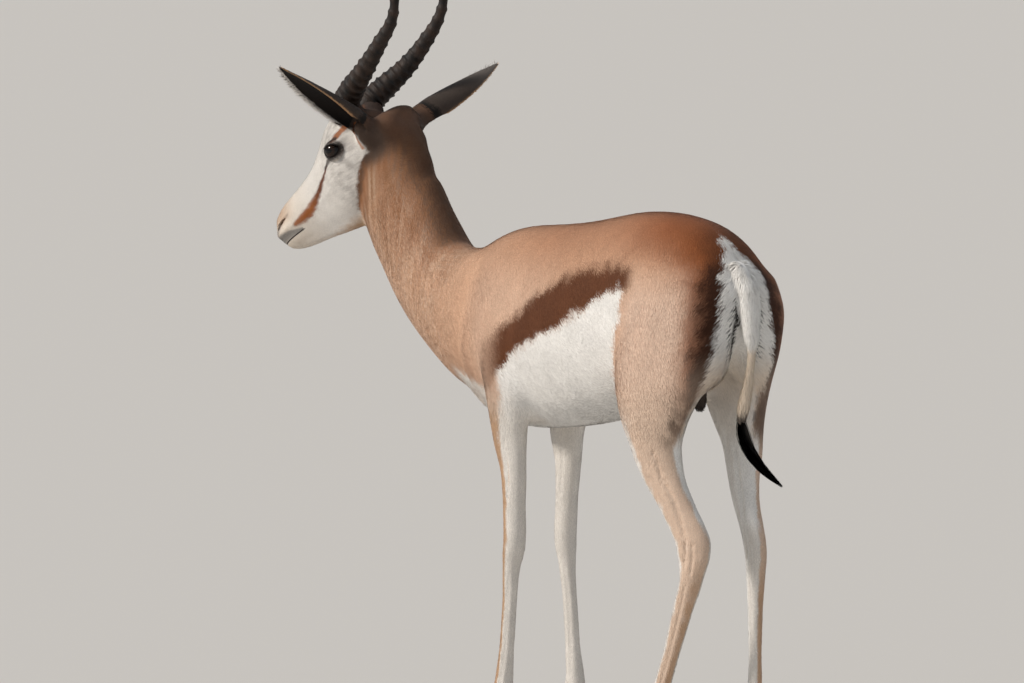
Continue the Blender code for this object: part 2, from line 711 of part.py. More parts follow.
def part(ob, name, point, normal, parts, cutters, limits=None):
    """Cut the flesh beyond a plane off as a node of its own.

    Limits are more planes, as point and normal, that close in the piece.
    """
    normal = Vector(normal).normalized()
    piece = copy_of(ob, name, parts)
    block = half_space("block", Vector(point) + normal * GAP / 2, normal, cutters)
    room = half_space("room", Vector(point) - normal * GAP / 2, normal, cutters)
    for edge, way in limits or []:
        way = Vector(way).normalized()
        near = half_space("edge", Vector(edge) + way * GAP / 2, way, cutters)
        wide = half_space("edge", Vector(edge) - way * GAP / 2, way, cutters)
        join(block, near, "INTERSECT")
        join(room, wide, "INTERSECT")
        remove(near)
        remove(wide)
    join(piece, block, "INTERSECT")
    join(ob, room, "DIFFERENCE")
    remove(block)
    remove(room)
    keep_largest(piece)
    return piece


def mirrored(point):
    return (-point[0], point[1], point[2])


def make_head(parts, cutters):
    pieces = [skull(), neck(NECK_IN_HEAD)] + head_knobs()
    for root, tip, opening in EARS.values():
        pieces.append(ear_plug(root, tip, opening))
    whole = flesh("head_flesh", pieces, HEAD_VOXEL, HEAD_ROUNDS, HEAD_SHARE, head_blend,
                  HEAD_SWELLS, to_skull, (1, -1, 1), cutters)
    head = part(whole, "head", *NECK_CUT, parts, cutters)
    remove(whole)
    for side in (1, -1):
        lid = add("lid", mesh_of("lid", [lid_ring(side)]), cutters)
        join(head, lid, "UNION")
        remove(lid)
        socket = add("socket", mesh_of("socket", [eye_ball(side, EYE_RADIUS + GAP)]), cutters)
        join(head, socket, "DIFFERENCE")
        remove(socket)
        place, radii = NOSTRIL
        points, faces = ball((place[0], place[1] * side, place[2]), radii, across=10, along=8)
        nostril = add("nostril", mesh_of("nostril", [(from_skull(points), faces)]), cutters)
        join(head, nostril, "DIFFERENCE")
        remove(nostril)
        base = add("base", mesh_of("base", [horn_room(side)]), cutters)
        join(head, base, "DIFFERENCE")
        remove(base)
    mouth = add("mouth", mesh_of("mouth", [mouth_slit()]), cutters)
    join(head, mouth, "DIFFERENCE")
    remove(mouth)
    for root, tip, opening in EARS.values():
        room = add("room", mesh_of("room", [ear_room(root, tip, opening)]), cutters)
        join(head, room, "DIFFERENCE")
        remove(room)
    keep_largest(head)
    return head


def eye_place(side):
    return (EYE_PLACE[0], EYE_PLACE[1] * side, EYE_PLACE[2])


def lid_ring(side):
    """A tube round the opening of the eye, thicker at the brow."""
    rim = EYE_PLACE[1] + LID_OUT
    rings = []
    for k in range(LID_STEPS):
        a = 2 * pi * k / LID_STEPS
        out = LID_HALF[0] * cos(a), LID_HALF[1] * sin(a)
        thick = LID_THICK * (1.0 + BROW_MORE * max(0.0, sin(a)))
        ring = []
        for j in range(LID_SIDES):
            b = 2 * pi * j / LID_SIDES
            grow = 1.0 + cos(b) * thick / LID_MEAN
            x, y = out[0] * grow, out[1] * grow
            along = x * cos(LID_TILT) - y * sin(LID_TILT)
            up = x * sin(LID_TILT) + y * cos(LID_TILT)
            depth = rim - LID_DIP * cos(a) ** 2 + thick * sin(b)
            ring.append((EYE_PLACE[0] + along, side * depth, EYE_PLACE[2] + up))
        rings.append(from_head(ring))
    points = np.concatenate(rings)
    faces = []
    for k in range(LID_STEPS):
        for j in range(LID_SIDES):
            m, n = (k + 1) % LID_STEPS, (j + 1) % LID_SIDES
            faces.append((k * LID_SIDES + j, k * LID_SIDES + n, m * LID_SIDES + n, m * LID_SIDES + j))
    return points, faces


def mouth_slit():
    """A flat band round the muzzle that parts the lips."""
    inner = MOUTH_INNER + [(s, -side) for s, side in MOUTH_INNER[-2::-1]]
    outer = [(MOUTH_CORNER, -0.045), (0.290, -0.045), (0.290, 0.045), (MOUTH_CORNER, 0.045)]
    outline = inner + outer
    rings = [from_skull([(s, side, MOUTH_LEVEL + n) for s, side in outline])
             for n in (-MOUTH_HALF, MOUTH_HALF)]
    return tube(rings)


def ear_frame(root, tip, opening):
    """Root point, direction, length, side and opening of an ear, in the world."""
    start, end = from_head([root, tip])
    along = end - start
    length = np.linalg.norm(along)
    along = along / length
    out = np.array(opening) @ np.array(head_axes())
    out = out - along * (out @ along)
    out /= np.linalg.norm(out)
    return start, along, length, np.cross(along, out), out


def ear_plug(root, tip, opening):
    """The fleshy root that the leaf of the ear grows from."""
    start, along, length, side, out = ear_frame(root, tip, opening)
    turn = np.stack([side, out, along], axis=1)
    return ball(start - out * EAR_PLUG_BACK, EAR_PLUG, turn, across=16, along=10)


def ear_room(root, tip, opening):
    """A short round block, from the plane between head and ear outwards."""
    start, along, length, side, out = ear_frame(root, tip, opening)
    wide, deep, reach = EAR_ROOM
    angles = np.linspace(0, 2 * pi, 24, endpoint=False)
    ring = wide * np.outer(np.cos(angles), side) + deep * np.outer(np.sin(angles), out)
    ring = ring + start - out * EAR_ROOM_BACK
    near = EAR_CUT - GAP / 2
    return tube([ring + along * near, ring + along * (near + reach)])


def ear_plane(root, tip):
    start, end = from_head([root, tip])
    along = (end - start) / np.linalg.norm(end - start)
    return start + along * EAR_CUT, along


def ear_shell(root, tip, opening):
    """A cupped leaf of even thickness that narrows to a point."""
    start, along, length, side, out = ear_frame(root, tip, opening)
    across = np.linspace(-1, 1, 7)
    rings = []
    for share, wide, deep, wrap in eased(EAR_SECTIONS, 12):
        a = radians(wrap)
        turn = across * a
        scale = wide / (sin(a) if a < pi / 2 else 1.0)
        x = scale * np.sin(turn)
        y = -deep * (np.cos(turn) - cos(a)) / (1 - cos(a))
        nx, ny = -np.sin(turn) / scale, np.cos(turn) * (1 - cos(a)) / deep
        size = np.hypot(nx, ny)
        thick = min(EAR_THICK, wide * 0.6) * (1 - 0.55 * across**4)
        inner_x, inner_y = x + nx / size * thick, y + ny / size * thick
        ring_x = np.concatenate([x, inner_x[::-1]])
        ring_y = np.concatenate([y, inner_y[::-1]])
        rings.append(start + along * length * share + np.outer(ring_x, side) + np.outer(ring_y, out))
    return tube(rings)


def make_ear(name, parts, cutters):
    root, tip, opening = EARS[name]
    ear = add(name, mesh_of(name, [ear_shell(root, tip, opening)]), parts)
    plug = add("plug", mesh_of("plug", [ear_plug(root, tip, opening)]), cutters)
    join(ear, plug, "UNION")
    remove(plug)
    point, way = ear_plane(root, tip)
    block = half_space("block", Vector(point) + Vector(way) * GAP / 2, way, cutters)
    join(ear, block, "INTERSECT")
    remove(block)
    keep_largest(ear)
    return ear


def horn_line(side, count):
    rows = eased(HORN_PATH, count)
    rows[:, 1] *= side
    return from_head(rows[:, :3]), rows[:, 3]


def horn_rings(points, radii, sides):
    tangents = np.gradient(points, axis=0)
    tangents /= np.linalg.norm(tangents, axis=1)[:, None]
    across = np.array(head_axes()[1])
    rings = []
    for p, t, r in zip(points, tangents, radii):
        u = across - t * (across @ t)
        u /= np.linalg.norm(u)
        v = np.cross(t, u)
        angles = np.linspace(0, 2 * pi, sides, endpoint=False)
        rings.append(p + r * (np.outer(np.cos(angles) * 0.95, u) + np.outer(np.sin(angles) * 1.05, v)))
    return rings


def horn_profile(side):
    """Middle points and radii, with raised rings closest near the base."""
    points, radii = horn_line(side, HORN_POINTS)
    shares, rise = [0.0], [0.0]
    for k in range(HORN_RINGS):
        part_way = (k + 0.5) / HORN_RINGS
        middle = HORN_FIRST + HORN_RINGED * part_way**RING_SPREAD
        spread = HORN_RINGED / HORN_RINGS * RING_SPREAD * part_way ** (RING_SPREAD - 1)
        for step, height in ((-0.34, 0.0), (-0.04, 1.0), (0.18, 0.85), (0.40, 0.0)):
            shares.append(middle + spread * step)
            rise.append(height * RING_HEIGHT * (1 - 0.45 * part_way))
    shares += HORN_SMOOTH
    rise += [0.0] * len(HORN_SMOOTH)
    steps = np.array(shares) * (HORN_POINTS - 1)
    known = np.arange(HORN_POINTS)
    rows = np.stack([np.interp(steps, known, points[:, k]) for k in range(3)], -1)
    return rows, np.interp(steps, known, radii) + np.array(rise)


def make_horn(name, side, parts):
    rows, size = horn_profile(side)
    return add(name, mesh_of(name, [tube(horn_rings(rows, size, HORN_SIDES))]), parts)


def horn_room(side):
    """A smooth socket in the skull, just wider than the horn's ringed base."""
    points, radii = horn_line(side, HORN_POINTS)
    points, radii = points[HORN_SUNK], radii[HORN_SUNK]
    rings = horn_rings(points, radii + RING_HEIGHT + HORN_GAP, HORN_SIDES)
    down = (points[0] - points[1]) / np.linalg.norm(points[0] - points[1])
    rings[0] = rings[0] + down * HORN_GAP * 3
    return tube(rings)


def eye_ball(side, radius):
    return ball(from_head([eye_place(side)])[0], (radius,) * 3, across=16, along=10)


def foot_frame(name):
    """Middle of the foot on the floor, the way it points, and its side."""
    kind = "fore" if name.startswith("fore") else "hind"
    way = 1 if name.endswith("left") else -1
    x, y = at(LEG_PATHS[name], 0.024)
    a = way * radians(at(LEG_SIZES[kind], 0.024)[2] * 0.6 + 3)
    return np.array([x, y, 0.0]), np.array([sin(a), -cos(a), 0]), np.array([cos(a), sin(a), 0])


def coronet(name):
    """Plane between the foot's flesh and its claws: a point and the way down."""
    middle, forward, _ = foot_frame(name)
    down = np.array([0, 0, -1.0]) + forward * CORONET_SLOPE
    return middle + np.array([0, 0, CORONET_HEIGHT]), down


def claw_shape(name, inner):
    middle, forward, side = foot_frame(name)
    heel = middle - forward * CLAW_LENGTH * CLAW_HEEL + side * CLAW_APART * inner
    rings = []
    for share, wide, high in CLAW_SECTIONS:
        lean = -inner * CLAW_LEAN * share**2
        ring = [heel + forward * (CLAW_LENGTH * share - CLAW_BACK * high * z) + side * (wide * x + lean)
                + np.array([0, 0, high * z]) for x, z in CLAW_OUTLINE]
        rings.append(np.array(ring))
    return tube(rings)


def make_claw(name, leg_name, inner, parts, cutters):
    claw = add(name, mesh_of(name, [claw_shape(leg_name, inner)]), parts)
    point, down = coronet(leg_name)
    room = half_space("room", Vector(point) + Vector(down).normalized() * GAP / 2, -Vector(down), cutters)
    join(claw, room, "DIFFERENCE")
    remove(room)
    keep_largest(claw)
    return claw


def round_path(rows, count, sides, grow=0.0):
    """A round loft along a path, or the room for it with every face moved out."""
    rows = eased(rows, count)
    rows[:, 3] += grow
    rows[0, :3] += grow * (rows[0, :3] - rows[1, :3]) / np.linalg.norm(rows[0, :3] - rows[1, :3])
    rows[-1, :3] += grow * (rows[-1, :3] - rows[-2, :3]) / np.linalg.norm(rows[-1, :3] - rows[-2, :3])
    tangents = np.gradient(rows[:, :3], axis=0)
    tangents /= np.linalg.norm(tangents, axis=1)[:, None]
    rings = []
    for row, t in zip(rows, tangents):
        u = np.array([1.0, 0, 0]) - t * t[0]
        u /= np.linalg.norm(u)
        v = np.cross(t, u)
        angles = np.linspace(0, 2 * pi, sides, endpoint=False)
        rings.append(row[:3] + row[3] * (np.outer(np.cos(angles), u) + np.outer(np.sin(angles), v)))
    return tube(rings)


def tuft_frames():
    """Middle points, radii, and two directions across, all along the tuft."""
    rows = eased(TUFT, TUFT_POINTS)
    tangents = np.gradient(rows[:, :3], axis=0)
    tangents /= np.linalg.norm(tangents, axis=1)[:, None]
    u = np.array([1.0, 0, 0]) - tangents * tangents[:, :1]
    u /= np.linalg.norm(u, axis=1)[:, None]
    return rows[:, :3], rows[:, 3], u, np.cross(tangents, u)


def tuft_core():
    """The solid middle of the tuft, which carries the roots of the locks."""
    points, radii, u, v = tuft_frames()
    rings = []
    for k in TUFT_CORE:
        angles = np.linspace(0, 2 * pi, CORE_SIDES, endpoint=False)
        size = radii[k] * CORE_SIZE * (1 - k / TUFT_CORE[-1] / 3)
        rings.append(points[k] + size * (np.outer(np.cos(angles), u[k]) + np.outer(np.sin(angles), v[k])))
    return tube(rings)


def lock(number):
    """A flat lock that leaves the core, follows the tuft and ends in a point."""
    points, radii, u, v = tuft_frames()
    share = number / (LOCKS - 1)
    turn = number * LOCK_TURN
    start = np.interp(share, [0, 1], LOCK_ROOTS)
    end = np.interp(1 - number * LOCK_SKIP % 1, [0, 1], LOCK_TIPS)
    rings = []
    for j in range(LOCK_RINGS):
        t = j / (LOCK_RINGS - 1)
        k = round((TUFT_POINTS - 1) * (start + (end - start) * t))
        out = cos(turn) * u[k] + sin(turn) * v[k]
        flat = cos(turn) * v[k] - sin(turn) * u[k]
        middle = points[k] + out * radii[k] * LOCK_BULGE * sin(pi * min(1.0, 0.12 + t * 0.7))
        wide = LOCK_WIDTH * (0.45 + 0.55 * sin(pi * min(1.0, 0.15 + t * 0.6))) * (1 - t**2.2 * 0.88)
        thick = LOCK_THICK * (1 - 0.7 * t)
        rings.append(middle + np.array([flat * wide, out * thick, -flat * wide, -out * thick]))
    return tube(rings)


def make_tuft(parts):
    """Core and locks, joined by one union on their collection."""
    locks = collection("locks")
    for number in range(LOCKS):
        add("lock", mesh_of("lock", [lock(number)]), locks)
    tuft = add("tail_tuft", mesh_of("tail_tuft", [tuft_core()]), parts)
    union = tuft.modifiers.new("Union", "BOOLEAN")
    union.operation = "UNION"
    union.operand_type = "COLLECTION"
    union.collection = locks
    union.solver = "MANIFOLD"
    settle(tuft)
    for ob in list(locks.objects):
        remove(ob)
    bpy.data.collections.remove(locks)
    keep_largest(tuft)
    return tuft


def finish_node(ob, kind, root):
    ob.data.materials.clear()
    ob.data.materials.append(material(ob.name, kind))
    ob.data.shade_smooth()
    ob.parent = root


def main():
    clear_scene()
    parts = collection("springbok")
    cutters = collection("cutters")
    root = bpy.data.objects.new("springbok_origin", None)
    parts.objects.link(root)
    root.location = -Vector(ORIGIN)

    legs = list(LEG_PATHS)
    pieces = [trunk(), neck(), ball(*SCROTUM), ball(*BUTTOCK), ball(mirrored(BUTTOCK[0]), BUTTOCK[1])]
    for name in legs:
        pieces.append(leg(name))
        pieces.extend(dewclaws(name))
    torso = flesh("torso", pieces, BODY_VOXEL, BODY_ROUNDS, BODY_SHARE, body_blend,
                  SWELLS, lambda points: points, (-1, 1, 1), parts)

    for name in legs:
        point, down = coronet(name)
        sole = half_space("sole", Vector(point) - Vector(down).normalized() * GAP / 2, down, cutters, 0.16)
        join(torso, sole, "DIFFERENCE")
        remove(sole)
    past = half_space("past", *NECK_CUT, cutters)
    past.location = -Vector(NECK_CUT[1]) * GAP
    join(torso, past, "DIFFERENCE")
    remove(past)
    made = {"neck": part(torso, "neck", *CHEST_CUT, parts, cutters,
                         [((0, 0, 0.46), (0, 0, 1))])}
    for name in legs:
        point, way = FORE_CUT if name.startswith("fore") else HIND_CUT
        edges = FORE_EDGES if name.startswith("fore") else HIND_EDGES
        side = (point[0], 0, 0)
        out = (1, 0, 0)
        if name.endswith("right"):
            point, way, side, out = mirrored(point), mirrored(way), mirrored(side), mirrored(out)
        upper = part(torso, name + "_upper", point, way, parts, cutters, edges + [(side, out)])
        made[name + "_upper"] = upper
        made[name + "_lower"] = part(upper, name + "_lower", (0, 0, CANNON_TOP), (0, 0, -1), parts, cutters)
        keep_largest(upper)
        for label, inner in (("inner", -1), ("outer", 1)):
            inner = inner if name.endswith("left") else -inner
            claw = make_claw(name + "_claw_" + label, name, inner, parts, cutters)
            finish_node(claw, "hoof", root)
    tail = add("tail", mesh_of("tail", [round_path(TAIL, TAIL_RINGS, TAIL_SIDES)]), parts)
    tuft = make_tuft(parts)
    room = add("room", mesh_of("room", [round_path(TAIL, TAIL_RINGS, TAIL_SIDES, GAP)]), cutters)
    join(torso, room, "DIFFERENCE")
    join(tuft, room, "DIFFERENCE")
    remove(room)
    keep_largest(torso)
    keep_largest(tuft)
    made["torso"] = torso

    head = make_head(parts, cutters)
    finish_node(head, "face", root)
    for name, ob in made.items():
        finish_node(ob, "leg" if name.endswith("lower") else "coat", root)
    finish_node(tail, "face", root)
    finish_node(tuft, "tuft", root)
    for side, label in ((1, "left"), (-1, "right")):
        finish_node(make_ear("ear_" + label, parts, cutters), "coat", root)
        finish_node(make_horn("horn_" + label, side, parts), "horn", root)
        eye = add("eye_" + label, mesh_of("eye_" + label, [eye_ball(side, EYE_RADIUS)]), parts)
        finish_node(eye, "eye", root)
    bpy.data.collections.remove(cutters)


main()
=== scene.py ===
# %% [markdown]
# A young springbok ram, life size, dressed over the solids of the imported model.
# The solids say where everything is. This script makes what the eye sees: one
# skin, a coat of small hair tufts, horns, eyes and hooves, each from named
# sizes in metres. The animal faces -Y, its left is +X, and up is +Z.

# %% Load the fixed frame
from math import cos, pi, radians, sin

import bmesh
import bpy
import numpy as np
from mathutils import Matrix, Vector


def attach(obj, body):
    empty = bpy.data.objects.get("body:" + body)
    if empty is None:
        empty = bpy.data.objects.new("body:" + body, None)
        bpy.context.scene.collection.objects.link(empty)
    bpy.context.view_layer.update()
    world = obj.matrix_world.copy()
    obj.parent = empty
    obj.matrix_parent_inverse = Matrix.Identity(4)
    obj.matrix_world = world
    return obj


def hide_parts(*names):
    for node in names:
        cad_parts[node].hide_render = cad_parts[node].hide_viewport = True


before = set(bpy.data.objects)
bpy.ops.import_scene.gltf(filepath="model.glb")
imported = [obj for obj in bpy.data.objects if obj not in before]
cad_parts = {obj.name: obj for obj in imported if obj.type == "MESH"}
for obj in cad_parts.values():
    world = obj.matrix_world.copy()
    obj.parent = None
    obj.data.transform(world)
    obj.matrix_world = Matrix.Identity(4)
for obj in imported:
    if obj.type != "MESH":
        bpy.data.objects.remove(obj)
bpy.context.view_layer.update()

# %% [markdown]
# The body's sizes come first. A springbok's trunk, neck, head and legs are
# each described by a few cross sections along a line, the way an animal
# sculptor notes widths and heights of a mount. Smooth curves run through the
# rows, so that a short table gives a soft shape. Places are measured from the
# fore feet, and ORIGIN moves the finished meshes to the model's zero point.

# %% Sizes of the trunk, neck and head
ORIGIN = (0.0072, 0.0024, 0.0)       # middle of the bounding box, on the floor
GAP = 0.0003                        # between neighbouring solids

# The head has its own zero point at the poll. It is turned to the left, and
# its long axis slopes down to the nose.
POLL = (0.0, -0.347, 0.872)
HEAD_SCALE = 1.0
HEAD_YAW = radians(24)
HEAD_PITCH = radians(33)

# Fineness of the flesh, and the share of its faces that is kept.
BODY_VOXEL = 0.0055
HEAD_VOXEL = 0.0024
BODY_SHARE = 0.055
HEAD_SHARE = 0.047
BODY_ROUNDS = 10
HEAD_ROUNDS = 8
BLEND_ROUNDS = 24

# Trunk sections: y, top, bottom, half width, level of the width, then the
# roundness of the back and of the belly (2 is an ellipse, less is sharper).
TRUNK = [
    (-0.150, 0.668, 0.520, 0.032, 0.585, 2.0, 2.0),
    (-0.125, 0.699, 0.486, 0.052, 0.590, 2.0, 2.0),
    (-0.090, 0.716, 0.464, 0.068, 0.595, 1.9, 1.9),
    (-0.048, 0.730, 0.455, 0.080, 0.598, 1.8, 1.9),
    (0.000, 0.738, 0.453, 0.088, 0.595, 1.7, 1.9),
    (0.050, 0.742, 0.455, 0.094, 0.592, 1.7, 1.9),
    (0.100, 0.746, 0.460, 0.099, 0.592, 1.8, 1.9),
    (0.150, 0.752, 0.467, 0.103, 0.595, 1.9, 2.0),
    (0.200, 0.760, 0.477, 0.103, 0.602, 2.0, 2.0),
    (0.250, 0.768, 0.488, 0.099, 0.610, 2.0, 2.0),
    (0.300, 0.771, 0.503, 0.095, 0.625, 2.0, 2.0),
    (0.350, 0.768, 0.522, 0.093, 0.640, 2.0, 2.0),
    (0.400, 0.758, 0.545, 0.088, 0.650, 2.0, 2.0),
    (0.440, 0.735, 0.575, 0.074, 0.655, 2.0, 2.0),
    (0.470, 0.705, 0.600, 0.054, 0.655, 2.0, 2.0),
    (0.490, 0.678, 0.625, 0.030, 0.655, 2.0, 2.0),
]

# Neck sections, square to its path: x, y, z, half depth, half width.
NECK = [
    (0.012, -0.374, 0.826, 0.052, 0.034),
    (0.004, -0.351, 0.800, 0.061, 0.039),
    (0.002, -0.339, 0.762, 0.073, 0.042),
    (0.000, -0.315, 0.722, 0.080, 0.045),
    (0.000, -0.279, 0.680, 0.080, 0.050),
    (0.000, -0.231, 0.635, 0.078, 0.057),
    (0.000, -0.165, 0.608, 0.094, 0.066),
    (0.000, -0.100, 0.598, 0.106, 0.072),
]
NECK_RINGS = 40
NECK_IN_HEAD = 14                   # rings that are grown together with the head

# Head sections along its axis: s, top, bottom, then the half width near the
# top, in the middle and near the bottom.
HEAD = [
    (-0.016, -0.012, -0.060, 0.014, 0.020, 0.016),
    (0.000, 0.000, -0.076, 0.026, 0.033, 0.025),
    (0.030, 0.030, -0.090, 0.033, 0.037, 0.027),
    (0.060, 0.049, -0.098, 0.036, 0.040, 0.027),
    (0.085, 0.057, -0.101, 0.035, 0.041, 0.026),
    (0.105, 0.050, -0.102, 0.032, 0.039, 0.024),
    (0.135, 0.0290, -0.100, 0.026, 0.034, 0.021),
    (0.160, 0.0135, -0.094, 0.021, 0.029, 0.018),
    (0.190, 0.0030, -0.0865, 0.0175, 0.0245, 0.0155),
    (0.215, -0.0030, -0.0815, 0.0165, 0.0225, 0.0145),
    (0.235, -0.0085, -0.0755, 0.0150, 0.0215, 0.0135),
    (0.250, -0.0185, -0.0665, 0.0125, 0.0185, 0.0110),
    (0.2585, -0.0300, -0.0540, 0.0080, 0.0120, 0.0075),
]

# %% Sizes of the legs
# Leg sections, level with the floor: height, half length, half width and the
# turn outwards in degrees.
LEG_SIZES = {
    "fore": [
        (0.640, 0.060, 0.026, 0),
        (0.580, 0.062, 0.030, 0),
        (0.530, 0.056, 0.028, 0),
        (0.490, 0.043, 0.025, 0),
        (0.450, 0.033, 0.021, 0),
        (0.400, 0.0225, 0.0170, 0),
        (0.355, 0.0185, 0.0155, 0),
        (0.315, 0.0175, 0.0160, 0),
        (0.285, 0.0165, 0.0158, 0),
        (0.262, 0.0130, 0.0128, 0),
        (0.221, 0.0115, 0.0108, 0),
        (0.150, 0.0115, 0.0108, 0),
        (0.105, 0.0140, 0.0130, 0),
        (0.085, 0.0170, 0.0155, 0),
        (0.062, 0.0145, 0.0145, 0),
        (0.040, 0.0190, 0.0180, 0),
        (0.010, 0.0210, 0.0185, 0),
    ],
    "hind": [
        (0.690, 0.060, 0.034, 0),
        (0.640, 0.085, 0.040, 4),
        (0.580, 0.092, 0.040, 6),
        (0.530, 0.080, 0.036, 8),
        (0.490, 0.060, 0.031, 10),
        (0.455, 0.043, 0.026, 13),
        (0.413, 0.035, 0.021, 16),
        (0.373, 0.0305, 0.0175, 18),
        (0.346, 0.0300, 0.0160, 20),
        (0.329, 0.0290, 0.0155, 20),
        (0.309, 0.0260, 0.0150, 20),
        (0.278, 0.0185, 0.0134, 20),
        (0.233, 0.0162, 0.0105, 20),
        (0.169, 0.0130, 0.0090, 20),
        (0.118, 0.0135, 0.0105, 20),
        (0.090, 0.0170, 0.0150, 20),
        (0.064, 0.0145, 0.0145, 20),
        (0.040, 0.0190, 0.0180, 20),
        (0.010, 0.0210, 0.0185, 20),
    ],
}

# The way each leg runs down: height, x, y.
LEG_PATHS = {
    "foreleg_left": [
        (0.640, 0.052, 0.010), (0.580, 0.064, 0.015), (0.530, 0.067, 0.022),
        (0.490, 0.066, 0.019), (0.435, 0.061, 0.015), (0.394, 0.061, 0.023),
        (0.352, 0.061, 0.0246), (0.294, 0.061, 0.0246), (0.262, 0.061, 0.018),
        (0.221, 0.061, 0.0147), (0.150, 0.061, 0.007), (0.098, 0.061, -0.001),
        (0.080, 0.061, -0.004), (0.060, 0.061, -0.012), (0.040, 0.061, -0.022),
        (0.010, 0.061, -0.028),
    ],
    "foreleg_right": [
        (0.640, -0.052, 0.005), (0.580, -0.064, 0.005), (0.530, -0.067, 0.005),
        (0.490, -0.066, -0.012), (0.446, -0.062, -0.022), (0.404, -0.061, -0.0185),
        (0.345, -0.061, -0.0221), (0.287, -0.061, -0.0245), (0.255, -0.061, -0.020),
        (0.214, -0.061, -0.0142), (0.142, -0.061, -0.0065), (0.092, -0.061, -0.0015),
        (0.080, -0.061, -0.003), (0.060, -0.061, -0.011), (0.040, -0.061, -0.021),
        (0.010, -0.061, -0.027),
    ],
    "hindleg_left": [
        (0.690, 0.050, 0.405), (0.640, 0.058, 0.395), (0.580, 0.064, 0.385),
        (0.530, 0.070, 0.382), (0.490, 0.070, 0.370), (0.455, 0.066, 0.367),
        (0.413, 0.061, 0.378), (0.373, 0.056, 0.404), (0.346, 0.053, 0.423),
        (0.329, 0.051, 0.432), (0.309, 0.050, 0.434), (0.278, 0.050, 0.429),
        (0.233, 0.050, 0.409), (0.169, 0.050, 0.381), (0.118, 0.050, 0.358),
        (0.085, 0.051, 0.348), (0.062, 0.054, 0.338), (0.040, 0.057, 0.325),
        (0.010, 0.059, 0.319),
    ],
    "hindleg_right": [
        (0.690, -0.050, 0.405), (0.640, -0.058, 0.400), (0.580, -0.059, 0.386),
        (0.530, -0.061, 0.376), (0.495, -0.061, 0.381), (0.445, -0.060, 0.396),
        (0.408, -0.057, 0.402), (0.371, -0.055, 0.412), (0.340, -0.055, 0.424),
        (0.325, -0.055, 0.429), (0.305, -0.055, 0.433), (0.278, -0.055, 0.433),
        (0.233, -0.055, 0.432), (0.169, -0.055, 0.432), (0.118, -0.055, 0.431),
        (0.085, -0.056, 0.428), (0.062, -0.059, 0.418), (0.040, -0.062, 0.405),
        (0.010, -0.064, 0.399),
    ],
}

# %% Sizes of ears, eyes, horns, tail and hooves
# Muscles and bones that swell the flesh: middle, spread in x, y and z, and
# height. "both" makes a mirrored twin.
SWELLS = [
    ("both", (0.085, -0.010, 0.650), (0.040, 0.028, 0.060), 0.006),    # shoulder blade
    ("both", (0.075, -0.075, 0.560), (0.030, 0.028, 0.034), 0.009),    # point of the shoulder
    ("both", (0.092, 0.045, 0.560), (0.030, 0.032, 0.035), 0.007),     # upper arm
    ("both", (0.100, 0.060, 0.615), (0.030, 0.018, 0.050), -0.003),    # hollow behind the shoulder
    ("one", (0.000, -0.145, 0.505), (0.040, 0.036, 0.030), 0.006),     # brisket
    ("both", (0.085, 0.320, 0.715), (0.025, 0.024, 0.020), 0.006),     # point of the hip
    ("both", (0.090, 0.275, 0.640), (0.030, 0.025, 0.050), -0.005),    # hollow of the flank
    ("both", (0.100, 0.400, 0.640), (0.030, 0.040, 0.060), 0.007),     # thigh
    ("both", (0.105, 0.345, 0.560), (0.030, 0.030, 0.035), 0.005),     # stifle
]
SCROTUM = ((0.000, 0.377, 0.518), (0.015, 0.018, 0.024))
BUTTOCK = ((0.032, 0.444, 0.600), (0.029, 0.042, 0.068))

# Swellings of the head, in its own s, side, n axes, in the same form.
HEAD_SWELLS = [
    ("both", (0.095, 0.038, 0.022), (0.020, 0.012, 0.012), 0.0070),    # brow
    ("both", (0.112, 0.036, -0.012), (0.016, 0.014, 0.010), 0.0040),   # rim under the eye
    ("both", (0.135, 0.034, 0.006), (0.012, 0.012, 0.007), -0.0025),   # hollow before the eye
    ("both", (0.118, 0.030, -0.065), (0.024, 0.014, 0.022), 0.0045),   # cheek
    ("both", (0.165, 0.026, -0.045), (0.024, 0.012, 0.014), -0.0025),  # hollow of the jaw
    ("both", (0.245, 0.020, -0.022), (0.010, 0.010, 0.006), 0.0035),   # wing of the nostril
    ("both", (0.242, 0.018, -0.042), (0.014, 0.012, 0.005), 0.0025),   # upper lip
    ("both", (0.236, 0.014, -0.062), (0.014, 0.012, 0.007), 0.0020),   # lower lip
]
CROWN = ((0.005, 0.000, 0.000), (0.030, 0.034, 0.016))
EAR_BASE = ((0.009, 0.027, -0.010), (0.024, 0.021, 0.023))
HORN_BASE = ((0.052, 0.026, 0.036), (0.022, 0.019, 0.020))

# Eyes, in the head's forward, left, up axes from the poll.
EYE_PLACE = (0.083, 0.0365, -0.049)
EYE_RADIUS = 0.0145
LID_HALF = (0.0128, 0.0102)         # inner rim, along and across
LID_THICK = 0.0030
LID_TILT = radians(-22)
LID_OUT = 0.0082                    # rim, from the eye's middle
LID_DIP = 0.0035                    # the corners lie this much deeper
LID_MEAN = 0.0115                   # mean half size of the rim
BROW_MORE = 0.35                    # extra thickness of the upper lid
LID_STEPS = 18
LID_SIDES = 8

